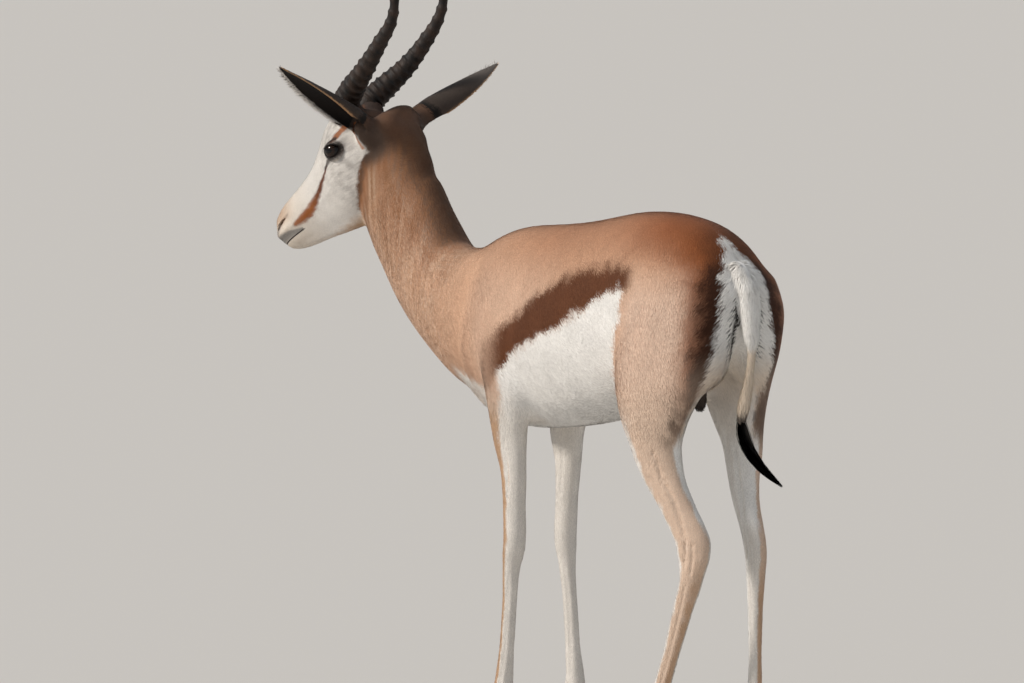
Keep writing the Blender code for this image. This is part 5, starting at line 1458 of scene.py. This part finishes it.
def plant(points, normals, tris, part, sheet):
    """Roots spread over the skin: place, normal, part, and place on the sheet."""
    a, b, c = points[tris[:, 0]], points[tris[:, 1]], points[tris[:, 2]]
    area = np.linalg.norm(np.cross(b - a, c - a), axis=1) / 2
    middles = (a + b + c) / 3
    wanted = area * 1e4 * tuft_sizes(middles, part)[:, 3] * DENSER * (1 - bald(middles))
    count = np.floor(wanted + RNG.random(len(wanted))).astype(int)
    face = np.repeat(np.arange(len(tris)), count)
    r1, r2 = np.sqrt(RNG.random(len(face))), RNG.random(len(face))
    share = np.stack([1 - r1, r1 * (1 - r2), r1 * r2], -1)[:, :, None]
    return ((points[tris[face]] * share).sum(1), unit((normals[tris[face]] * share).sum(1)), part[face],
            (sheet[face] * share).sum(1))


def tuft_arrays(roots, normals, part, sheet, colours, sizes, way, sink=0.0005):
    """Points, triangles, shading directions, colours and sheet places of the tufts."""
    count = len(roots)
    length, width, rise = (sizes[:, k] * 0.001 for k in range(3))
    length = length * RNG.uniform(0.65, 1.15, count)
    width = width * RNG.uniform(0.75, 1.25, count)
    rise = rise * RNG.uniform(0.5, 1.15, count)
    angle = RNG.normal(0, 0.13, count)
    side = np.cross(normals, way)
    way = unit(way * np.cos(angle)[:, None] + side * np.sin(angle)[:, None])
    side = np.cross(normals, way)
    roll = RNG.normal(0, 0.14, count)[:, None]
    side, up = side * np.cos(roll) + normals * np.sin(roll), normals * np.cos(roll) - side * np.sin(roll)
    half = (side * width[:, None]) / 2
    root = roots - normals * sink
    middle = roots + way * (length * 0.5)[:, None] + normals * (rise * 0.75)[:, None]
    tip = roots + way * length[:, None] + normals * rise[:, None]
    corners_ = np.stack([root - half * 0.7, root + half * 0.7, middle + half, middle - half, tip], 1)
    base = np.arange(count)[:, None] * 5
    faces = np.concatenate([base + np.array([[0, 2, 1]]), base + np.array([[0, 3, 2]]),
                            base + np.array([[3, 4, 2]])], 1).reshape(-1, 3)
    shade = unit(normals * 0.85 + up * 0.15)
    shade = np.repeat(shade, 5, 0)
    tone = 1 + RNG.normal(0, 0.045, count)
    along = np.array([0.86, 0.86, 1.0, 1.0, 1.05])
    colour = colours[:, None, :] * tone[:, None, None] * along[None, :, None]
    patch = np.array([(-1, -1), (1, -1), (1, 0), (-1, 0), (0, 1)]) * 0.0015
    return (corners_.reshape(-1, 3), faces, shade, np.clip(colour, 0, 1).reshape(-1, 3),
            (sheet[:, None, :] + patch[None]).reshape(-1, 2))


def make_coat(name, arrays, finish):
    """One mesh object of tufts."""
    points, faces, shade, colour, sheet = arrays
    mesh = bpy.data.meshes.new(name)
    mesh.vertices.add(len(points))
    mesh.loops.add(len(faces) * 3)
    mesh.polygons.add(len(faces))
    mesh.vertices.foreach_set("co", (points - np.array(ORIGIN)).astype(np.float32).ravel())
    mesh.loops.foreach_set("vertex_index", faces.astype(np.int32).ravel())
    mesh.polygons.foreach_set("loop_start", np.arange(len(faces), dtype=np.int32) * 3)
    mesh.update(calc_edges=True)
    mesh.polygons.foreach_set("use_smooth", np.ones(len(faces), bool))
    hair = mesh.attributes.new("hair_colour", "FLOAT_COLOR", "POINT")
    hair.data.foreach_set("color", np.concatenate([colour, np.ones((len(colour), 1))], 1).astype(np.float32).ravel())
    mesh.uv_layers.new(name="OFBake").data.foreach_set("uv", sheet[faces.ravel()].astype(np.float32).ravel())
    mesh.normals_split_custom_set_from_vertices(shade.astype(np.float32))
    mesh.materials.append(finish)
    ob = make_object(name, mesh)
    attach(ob, "root")
    return ob


roots, root_normals, root_part, root_sheet = plant(skin_points, skin_normals, corners(skin.data), skin_part, skin_sheet)
jitter = roots + RNG.normal(0, 0.0022, roots.shape) * (1 - 0.65 * on_head(roots))[:, None]
root_colours = markings(jitter, root_normals, root_part)
root_sizes = tuft_sizes(roots, root_part)
root_way = lie_of_coat(roots, root_normals, root_part)
print("tufts:", len(roots))

# %% [markdown]
# Hair is keratin, a clear fibre round a pigmented core. Laid flat it is soft
# and a little satiny, never mirror bright, so the roughness is high and a
# weak sheen catches the light at the edges of the body. Colour comes from the
# markings, with a fine mottle of about 2 mm, because no two locks are alike.

# %% Add nodes to a material
def add_node(tree, kind, settings=None, links=None):
    """One node, its settings by attribute or socket name, and its inputs linked."""
    node = tree.nodes.new(kind)
    for name, value in (settings or {}).items():
        if name in node.inputs:
            node.inputs[name].default_value = value
        else:
            setattr(node, name, value)
    for name, (source, output) in (links or {}).items():
        tree.links.new(source.outputs[output], node.inputs[name])
    return node


def new_finish(name):
    """An empty material and its node tree."""
    finish = bpy.data.materials.new(name)
    finish.use_nodes = True
    finish.node_tree.nodes.clear()
    return finish, finish.node_tree


def surface(tree, shader):
    add_node(tree, "ShaderNodeOutputMaterial", None, {"Surface": (shader, "BSDF")})


def scale_for(millimetres):
    """Noise scale whose patches are about that wide."""
    return 1000 / millimetres


def rgba(code):
    return (*linear(code), 1.0)


# %% Short hair
def hair_finish(name, roughness, mottle_mm, strength, bump):
    finish, tree = new_finish(name)
    place = add_node(tree, "ShaderNodeTexCoord")
    colour = add_node(tree, "ShaderNodeAttribute", {"attribute_name": "hair_colour"})
    speck = add_node(tree, "ShaderNodeTexNoise", {"Scale": scale_for(mottle_mm), "Detail": 3.0},
                     {"Vector": (place, "Object")})
    tone = add_node(tree, "ShaderNodeMapRange", {"From Min": 0.3, "From Max": 0.7, "To Min": 1 - strength,
                                                 "To Max": 1 + strength}, {"Value": (speck, "Fac")})
    mixed = add_node(tree, "ShaderNodeVectorMath", {"operation": "SCALE"},
                     {"Vector": (colour, "Color"), "Scale": (tone, "Result")})
    ripple = add_node(tree, "ShaderNodeBump", {"Strength": bump, "Distance": 0.0004}, {"Height": (speck, "Fac")})
    shader = add_node(tree, "ShaderNodeBsdfPrincipled",
                      {"Roughness": roughness, "IOR": 1.55, "Specular IOR Level": 0.18,
                       "Sheen Weight": 0.08, "Sheen Roughness": 0.5},
                      {"Base Color": (mixed, "Vector"), "Normal": (ripple, "Normal")})
    surface(tree, shader)
    return finish


coat_hair = hair_finish("short_coat_hair", 0.68, 2.0, 0.05, 0.1)
under_hair = hair_finish("down_under_the_coat", 0.75, 1.2, 0.12, 0.5)
print("finishes:", coat_hair.name, under_hair.name)

# %% Finish the skin and place it
skin.data.vertices.foreach_set("co", (skin_points - np.array(ORIGIN)).astype(np.float32).ravel())
skin.data.update()
hair = skin.data.attributes.new("hair_colour", "FLOAT_COLOR", "POINT")
hair.data.foreach_set("color", np.concatenate([np.clip(skin_colours * 0.9, 0, 1), np.ones((len(skin_colours), 1))],
                                              1).astype(np.float32).ravel())
skin.data.materials.clear()
skin.data.materials.append(under_hair)
skin.data.polygons.foreach_set("use_smooth", np.ones(len(skin.data.polygons), bool))
skin.data.set_sharp_from_angle(angle=radians(60))
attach(skin, "root")
flesh_nodes = [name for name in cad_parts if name.endswith(("_upper", "_lower"))]
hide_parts("torso", "neck", "head", "ear_left", "ear_right", "tail", *flesh_nodes)

# %% Plant the coat in pieces
def trunk_at(first, last):
    """The tufts of the trunk and neck between two places along the body."""
    return (root_part == 0) & (roots[:, 1] > first) & (roots[:, 1] <= last)


COAT_PIECES = {
    "coat_shoulder_left": (trunk_at(-0.12, 0.09) & (roots[:, 0] >= 0), "coat"),
    "coat_shoulder_right": (trunk_at(-0.12, 0.09) & (roots[:, 0] < 0), "coat"),
    "coat_flank_left": (trunk_at(0.09, 0.29) & (roots[:, 0] >= 0), "coat"),
    "coat_flank_right": (trunk_at(0.09, 0.29) & (roots[:, 0] < 0), "coat"),
    "coat_rump_left": (trunk_at(0.29, 9.0) & (roots[:, 0] >= 0), "coat"),
    "coat_rump_right": (trunk_at(0.29, 9.0) & (roots[:, 0] < 0), "coat"),
    "coat_neck": (trunk_at(-9.0, -0.12), "coat"),
    "coat_head": (root_part == 1, "face_coat"),
    "coat_tail": (root_part == 2, "white_coat"),
    "coat_foreleg_left": (root_part == 3, "leg_coat"),
    "coat_foreleg_right": (root_part == 4, "leg_coat"),
    "coat_hindleg_left": (root_part == 5, "leg_coat"),
    "coat_hindleg_right": (root_part == 6, "leg_coat"),
    "coat_ears": (root_part > 6, "ear"),
}
for name, (mask, slot) in COAT_PIECES.items():
    arrays = tuft_arrays(roots[mask], root_normals[mask], root_part[mask], root_sheet[mask],
                         root_colours[mask], root_sizes[mask], root_way[mask])
    piece = make_coat(name, arrays, coat_hair)
    print(name, len(piece.data.polygons), "triangles")

# %% [markdown]
# Springbok horns are black keratin sheaths over bone. They grow a ring each
# season of growth, close together and coarse at the base and further apart
# above, and the last third is smooth. The rings are modelled, because they
# break the outline. Fine grooves along the horn are left to the bump.

# %% Ringed horns
def horn_profile(side):
    """Middle points and radii, with raised rings closest near the base."""
    rows = eased(HORN_PATH, 700)
    rows[:, 1] *= side
    points, radii = from_head(rows[:, :3]), rows[:, 3]
    shares, rise = [0.0], [0.0]
    for k in range(HORN_RINGS):
        way = (k + 0.5) / HORN_RINGS
        middle = HORN_FIRST + HORN_RINGED * way**RING_SPREAD
        spread_ = HORN_RINGED / HORN_RINGS * RING_SPREAD * way ** (RING_SPREAD - 1)
        for step, height in ((-0.42, 0.0), (-0.16, 0.5), (0.02, 1.0), (0.12, 0.9), (0.22, 0.15), (0.40, 0.0)):
            shares.append(middle + spread_ * step)
            rise.append(height * RING_HEIGHT * (1.25 - 0.75 * way))
    bumps = np.interp(np.linspace(0, 1, 700), shares + [1.0], rise + [0.0])
    bumps[1:-1] = (bumps[:-2] + bumps[1:-1] * 2 + bumps[2:]) / 4
    keep = np.unique(np.concatenate([np.arange(0, 560, 3), np.arange(560, 700, 7), [699]]))
    return points[keep], radii[keep], bumps[keep]


def make_horn(name, side):
    points, radii, bumps = horn_profile(side)
    tangents = unit(np.gradient(points, axis=0))
    u = unit(HEAD_AXES[1] - tangents * (tangents @ HEAD_AXES[1])[:, None])
    v = np.cross(tangents, u)
    turn = spin(36)
    rings = []
    for k, (p, r, bump, a, b) in enumerate(zip(points, radii, bumps, u, v)):
        knotty = 0.85 + 0.30 * np.sin(turn * 3 + k * 0.13) * np.sin(turn * 5 + k * 0.31)
        size = (r * (1 + 0.012 * np.sin(3 * turn + 1.0)) + bump * knotty)[:, None]
        rings.append(p + size * (np.outer(np.cos(turn) * 0.95, a) + np.outer(np.sin(turn) * 1.05, b)))
    horn = make_object(name, make_mesh(name, [tube(np.array(rings) - np.array(ORIGIN))]))
    horn.data.polygons.foreach_set("use_smooth", np.ones(len(horn.data.polygons), bool))
    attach(horn, "root")
    return horn


def horn_finish():
    """Black-brown keratin, satin, with grooves half a millimetre apart along it."""
    finish, tree = new_finish("horn_keratin")
    place = add_node(tree, "ShaderNodeTexCoord")
    patches = add_node(tree, "ShaderNodeTexNoise", {"Scale": scale_for(14), "Detail": 4.0}, {"Vector": (place, "Object")})
    stretch = add_node(tree, "ShaderNodeMapping", {"Scale": (1.0, 1.0, 0.12)}, {"Vector": (place, "Object")})
    grooves = add_node(tree, "ShaderNodeTexNoise", {"Scale": scale_for(1.6), "Detail": 4.0}, {"Vector": (stretch, "Vector")})
    colour = add_node(tree, "ShaderNodeValToRGB", None, {"Fac": (patches, "Fac")})
    colour.color_ramp.elements[0].position, colour.color_ramp.elements[0].color = 0.35, rgba("#120E0C")
    colour.color_ramp.elements[1].position, colour.color_ramp.elements[1].color = 0.80, rgba("#3E2E24")
    rough = add_node(tree, "ShaderNodeMapRange", {"To Min": 0.50, "To Max": 0.75}, {"Value": (grooves, "Fac")})
    bump = add_node(tree, "ShaderNodeBump", {"Strength": 0.5, "Distance": 0.0006}, {"Height": (grooves, "Fac")})
    shader = add_node(tree, "ShaderNodeBsdfPrincipled", {"IOR": 1.54, "Specular IOR Level": 0.3},
                      {"Base Color": (colour, "Color"), "Roughness": (rough, "Result"), "Normal": (bump, "Normal")})
    surface(tree, shader)
    return finish


horn_keratin = horn_finish()
for side, label in ((1, "left"), (-1, "right")):
    horn = make_horn("ringed_horn_" + label, side)
    horn.data.materials.append(horn_keratin)
    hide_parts("horn_" + label)
    print(horn.name, len(horn.data.polygons), "triangles")

# %% [markdown]
# Hooves are the same keratin grown as a wall: dark, polished by sand, with
# fine growth lines level with the floor. Two pointed claws stand on each foot.

# %% Hooves
def rounded(outline, rounds=2):
    """Cut the corners of a closed outline, which rounds it."""
    outline = np.array(outline, float)
    for turn in range(rounds):
        after = np.roll(outline, -1, 0)
        outline = np.stack([outline * 0.78 + after * 0.22, outline * 0.22 + after * 0.78], 1).reshape(-1, 2)
    return outline


def make_claw(name, leg_name, inner):
    middle, forward, side = foot_frame(leg_name)
    heel = middle - forward * CLAW_LENGTH * CLAW_HEEL + side * CLAW_APART * inner
    outline = rounded(CLAW_OUTLINE)
    outline[:, 1] = np.maximum(0, outline[:, 1])
    rings = []
    for share, wide, high in eased(CLAW_SECTIONS, 30):
        lean = -inner * CLAW_LEAN * share**2
        rings.append([heel + forward * (CLAW_LENGTH * share - CLAW_BACK * high * z) + side * (wide * x + lean)
                      + np.array([0, 0, max(0.0, high * z)]) for x, z in outline])
    claw = make_object(name, make_mesh(name, [tube(np.array(rings))]))
    points, faces = coronet_block(leg_name, -1)
    cut(claw, [(points, faces)], "DIFFERENCE")
    claw.data.vertices.foreach_set("co", (coordinates(claw.data) - np.array(ORIGIN)).ravel())
    claw.data.update()
    claw.data.polygons.foreach_set("use_smooth", np.ones(len(claw.data.polygons), bool))
    claw.data.set_sharp_from_angle(angle=radians(40))
    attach(claw, "root")
    return claw


def hoof_finish():
    """Dark hoof horn: satin walls, growth lines about 2 mm apart."""
    finish, tree = new_finish("hoof_keratin")
    place = add_node(tree, "ShaderNodeTexCoord")
    lines = add_node(tree, "ShaderNodeTexWave", {"wave_type": "BANDS", "bands_direction": "Z",
                                                 "Scale": scale_for(2.0) / 20, "Distortion": 2.0, "Detail": 2.0},
                     {"Vector": (place, "Object")})
    dust = add_node(tree, "ShaderNodeTexNoise", {"Scale": scale_for(9), "Detail": 5.0}, {"Vector": (place, "Object")})
    colour = add_node(tree, "ShaderNodeValToRGB", None, {"Fac": (dust, "Fac")})
    colour.color_ramp.elements[0].position, colour.color_ramp.elements[0].color = 0.40, rgba("#231D1A")
    colour.color_ramp.elements[1].position, colour.color_ramp.elements[1].color = 0.75, rgba("#5B4A3E")
    bump = add_node(tree, "ShaderNodeBump", {"Strength": 0.25, "Distance": 0.0004}, {"Height": (lines, "Fac")})
    rough = add_node(tree, "ShaderNodeMapRange", {"To Min": 0.30, "To Max": 0.60}, {"Value": (dust, "Fac")})
    shader = add_node(tree, "ShaderNodeBsdfPrincipled", {"IOR": 1.54},
                      {"Base Color": (colour, "Color"), "Roughness": (rough, "Result"), "Normal": (bump, "Normal")})
    surface(tree, shader)
    return finish


hoof_keratin = hoof_finish()
for leg_name in LEG_PATHS:
    for label, inner in (("inner", -1), ("outer", 1)):
        way = inner if leg_name.endswith("left") else -inner
        claw = make_claw("hoof_" + leg_name + "_" + label, leg_name, way)
        claw.data.materials.clear()  # the cut leaves an empty slot
        claw.data.materials.append(hoof_keratin)
        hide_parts(leg_name + "_claw_" + label)
print("hooves: 8")

# %% [markdown]
# An antelope's eye is large and looks black, but it is a dark brown iris with
# a wide pupil that lies level. A clear wet cornea covers it. The ball is one
# mesh, and its colour is worked out from the way each point faces.

# %% Eyes
GAZE_TURN = radians(12)              # the eyes look a little forward


def make_eye(name, side):
    points, faces = eye_ball(side, EYE_RADIUS, 64, 44)
    middle = from_head([(EYE_PLACE[0], EYE_PLACE[1] * side, EYE_PLACE[2])])[0]
    gaze = side * cos(GAZE_TURN) * HEAD_AXES[1] + sin(GAZE_TURN) * HEAD_AXES[0]
    turned = unit(points - middle) @ gaze
    bulge = smooth_step(turned, 0.70, 0.92) * 0.0007
    points = points + unit(points - middle) * bulge[:, None]
    level = unit(np.cross([0, 0, 1.0], gaze))
    gap = (points - middle) / EYE_RADIUS
    iris = np.hypot(gap @ level, gap[:, 2])
    pupil = np.hypot(gap @ level / 0.46, gap[:, 2] / 0.24)
    colour = np.tile(np.array(linear("#24160E")), (len(points), 1))
    for mask, code in ((smooth_step(iris, 0.62, 0.72), "#0F0B0A"), (1 - smooth_step(pupil, 0.85, 1.1), "#040303"),
                       (smooth_step(iris, 0.90, 0.98), "#2B211C")):
        colour = colour * (1 - mask[:, None]) + np.array(linear(code)) * mask[:, None]
    mesh = make_mesh(name, [(points - np.array(ORIGIN), faces)])
    mesh.attributes.new("iris_colour", "FLOAT_COLOR", "POINT").data.foreach_set(
        "color", np.concatenate([colour, np.ones((len(colour), 1))], 1).astype(np.float32).ravel())
    mesh.polygons.foreach_set("use_smooth", np.ones(len(mesh.polygons), bool))
    ob = make_object(name, mesh)
    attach(ob, "root")
    return ob


def eye_finish():
    """Wet cornea: almost no roughness over the iris."""
    finish, tree = new_finish("wet_cornea_over_iris")
    place = add_node(tree, "ShaderNodeTexCoord")
    colour = add_node(tree, "ShaderNodeAttribute", {"attribute_name": "iris_colour"})
    fibres = add_node(tree, "ShaderNodeTexNoise", {"Scale": scale_for(1.0), "Detail": 4.0}, {"Vector": (place, "Object")})
    tone = add_node(tree, "ShaderNodeMapRange", {"To Min": 0.6, "To Max": 1.5}, {"Value": (fibres, "Fac")})
    mixed = add_node(tree, "ShaderNodeVectorMath", {"operation": "SCALE"},
                     {"Vector": (colour, "Color"), "Scale": (tone, "Result")})
    shader = add_node(tree, "ShaderNodeBsdfPrincipled",
                      {"Roughness": 0.07, "IOR": 1.376},
                      {"Base Color": (mixed, "Vector")})
    surface(tree, shader)
    return finish


wet_eye = eye_finish()
for side, label in ((1, "left"), (-1, "right")):
    eye = make_eye("eyeball_" + label, side)
    eye.data.materials.append(wet_eye)
    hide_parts("eye_" + label)
print("eyes: 2, radius", EYE_RADIUS * 1000, "mm")

# %% [markdown]
# The end of the tail carries a tuft of long black hair, and the ears have a
# fringe of white hair on the lower rim. Long hair is made as thin locks of
# several steps, so that each can bend: the blades of the coat are too stiff.

# %% Long locks
def long_locks(paths, widths, normals, colours, sheet):
    """Flat tapering ribbons along paths of the given points, with a fold along the middle."""
    count, rows = paths.shape[0], paths.shape[1]
    tangents = unit(np.gradient(paths, axis=1))
    side = unit(np.cross(tangents, normals[:, None, :]))
    up = np.cross(side, tangents)
    t = np.linspace(0, 1, rows)
    taper = (0.55 + 0.45 * np.sin(pi * np.minimum(1, t * 0.8 + 0.1))) * (1 - t**2.4 * 0.92)
    half = side * (widths[:, None] * taper[None])[:, :, None] / 2
    lift = up * (widths[:, None] * taper[None])[:, :, None] * 0.22
    points = np.stack([paths - half, paths + lift, paths + half], 2).reshape(count, -1, 3)
    base = np.arange(count)[:, None] * rows * 3
    tris = []
    for k in range(rows - 1):
        for j in range(2):
            a, b, c, d = k * 3 + j, k * 3 + j + 1, k * 3 + j + 4, k * 3 + j + 3
            tris += [(a, c, b), (a, d, c)]
    faces = (base[:, :, None] + np.array(tris)[None]).reshape(-1, 3)
    shade = unit(np.stack([up - side * 0.5, up, up + side * 0.5], 2).reshape(count, -1, 3))
    tone = RNG.uniform(0.75, 1.25, count)[:, None, None]
    colour = np.repeat(colours[:, None, :], rows * 3, 1) * tone
    patch = np.stack([np.tile([-1.0, 0.0, 1.0], rows), np.repeat(np.linspace(-1, 1, rows), 3)], -1) * 0.0015
    return (points.reshape(-1, 3), faces, shade.reshape(-1, 3), np.clip(colour, 0, 1).reshape(-1, 3),
            (sheet[:, None, :] + patch[None]).reshape(-1, 2))


def path_along(rows, share):
    """Points on the smooth line through rows, at shares of its length, and the two ways across."""
    line = eased(rows, 101)
    tangents = unit(np.gradient(line[:, :3], axis=0))
    u = unit(np.array([1.0, 0, 0]) - tangents * tangents[:, :1])
    v = np.cross(tangents, u)

    def value(table):
        return np.stack([np.interp(share, np.linspace(0, 1, 101), column) for column in table.T], -1)

    return value(line[:, :3]), value(line[:, 3:4])[..., 0], value(u), value(v)


# %% Tuft of the tail
TUFT_LOCKS = 900
turn = RNG.uniform(0, 2 * pi, TUFT_LOCKS)
start = RNG.uniform(-0.02, 0.45, TUFT_LOCKS)
end = np.clip(start + RNG.uniform(0.45, 0.75, TUFT_LOCKS), 0.5, 1.0)
end = np.where(RNG.random(TUFT_LOCKS) < 0.25, RNG.uniform(0.9, 1.0, TUFT_LOCKS), end)
steps = np.linspace(0, 1, 8)
share = start[:, None] + (end - start)[:, None] * steps[None]
middle, radius, u, v = path_along(TUFT, np.clip(share, 0, 1))
reach = RNG.uniform(0.25, 1.25, TUFT_LOCKS)[:, None] * np.sin(pi * np.minimum(1, 0.16 + steps * 0.64))[None]
out = np.cos(turn)[:, None, None] * u + np.sin(turn)[:, None, None] * v
paths = middle + out * (radius * reach)[:, :, None]
colours = np.tile(np.array(linear("#30231B")), (TUFT_LOCKS, 1))
brown = RNG.random(TUFT_LOCKS) < 0.25
colours[brown] = linear("#6B4E3A")
tail_sheet = np.tile(np.array([[0.985, 0.915]]), (TUFT_LOCKS, 1)) + RNG.uniform(-0.003, 0.003, (TUFT_LOCKS, 2))
tuft = make_coat("black_tail_tuft", long_locks(paths, RNG.uniform(0.0005, 0.0013, TUFT_LOCKS), out[:, 0], colours,
                                               tail_sheet), coat_hair)
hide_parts("tail_tuft")
print(tuft.name, len(tuft.data.polygons), "triangles")

# %% [markdown]
# Lashes shade the eye. They are a row of stiff dark hairs on the upper lid,
# 5 to 8 mm long, that reach out and then bend down.

# %% Lashes
LASHES = 70
angle = RNG.uniform(radians(15), radians(170), LASHES)
length = RNG.uniform(0.005, 0.008, LASHES)
for side, label in ((1, "left"), (-1, "right")):
    along, up = lid_rim(angle, 0.0006)
    out = np.sqrt((EYE_RADIUS + LID_SKIN * 0.5)**2 - along**2 - up**2)
    rim = np.stack([EYE_PLACE[0] + along, side * (EYE_PLACE[1] + out), EYE_PLACE[2] + up], -1)
    reach = np.linspace(0, 1, 5)
    bend = np.stack([0.35 * np.cos(angle)[:, None] * reach, side * (0.85 * reach - 0.15 * reach**2)
                     + 0 * angle[:, None], 0.25 * reach - 0.55 * reach**2 + 0 * angle[:, None]], -1)
    paths = from_head(rim[:, None, :] + bend * length[:, None, None])
    out = np.tile(HEAD_AXES[2], (LASHES, 1))
    near = root_sheet[np.argmin(((roots[:, None] - paths[None, ::14, 0])**2).sum(2), 0)]
    lash_sheet = np.repeat(near, 14, 0)[:LASHES]
    lashes = make_coat("lashes_" + label, long_locks(paths, np.full(LASHES, 0.00045), out,
                                                     np.tile(linear("#15100E"), (LASHES, 1)), lash_sheet), coat_hair)
print("lashes:", LASHES, "on each upper lid")

# %% [markdown]
# The stage is a plain pale floor under plain studio light. One broad sun lamp
# stands for the key light. It comes from the left of the picture and a little
# from the front, as the light does in the photo, and its width of 12 degrees
# keeps the shadows soft. An even pale sky fills in the rest.

# %% Floor and light
floor = bpy.data.meshes.new("floor")
floor.from_pydata([(x * 60, y * 60, 0) for x, y in ((-1, -1), (1, -1), (1, 1), (-1, 1))], [], [(0, 1, 2, 3)])
floor = make_object("floor", floor)
paper, tree = new_finish("pale_studio_paper")
surface(tree, add_node(tree, "ShaderNodeBsdfPrincipled", {"Base Color": rgba("#DCD8D2"), "Roughness": 0.9,
                                                          "Specular IOR Level": 0.05}))
floor.data.materials.append(paper)
sun = bpy.data.lights.new("key", "SUN")
sun.energy, sun.angle, sun.color = 2.7, radians(12), (1.0, 0.94, 0.87)
key = bpy.data.objects.new("key", sun)
bpy.context.scene.collection.objects.link(key)
key.rotation_euler = Vector((0.88, -0.34, 0.56)).to_track_quat("Z", "Y").to_euler()
world = bpy.data.worlds.new("studio")
bpy.context.scene.world = world
world.use_nodes = True
world.node_tree.nodes["Background"].inputs["Color"].default_value = (0.88, 0.93, 1.0, 1)
world.node_tree.nodes["Background"].inputs["Strength"].default_value = 0.42
print("lights: key and sky")

# %% Camera
AZIMUTH, ELEVATION = radians(145), radians(4)
TARGET = (0.0940, 0.0741, 0.5817)
DISTANCE = 16.0
camera = bpy.data.cameras.new("camera")
camera.sensor_width, camera.lens = 36.0, 11600 / 1024 * 36
camera.clip_end = 200.0
view = bpy.data.objects.new("camera", camera)
bpy.context.scene.collection.objects.link(view)
back = Vector((sin(AZIMUTH) * cos(ELEVATION), -cos(AZIMUTH) * cos(ELEVATION), sin(ELEVATION)))
view.location = Vector(TARGET) + back * DISTANCE
view.rotation_euler = back.to_track_quat("Z", "Y").to_euler()
bpy.context.scene.camera = view
bpy.context.scene.view_settings.view_transform = "Standard"
print("camera at", [round(v, 3) for v in view.location])
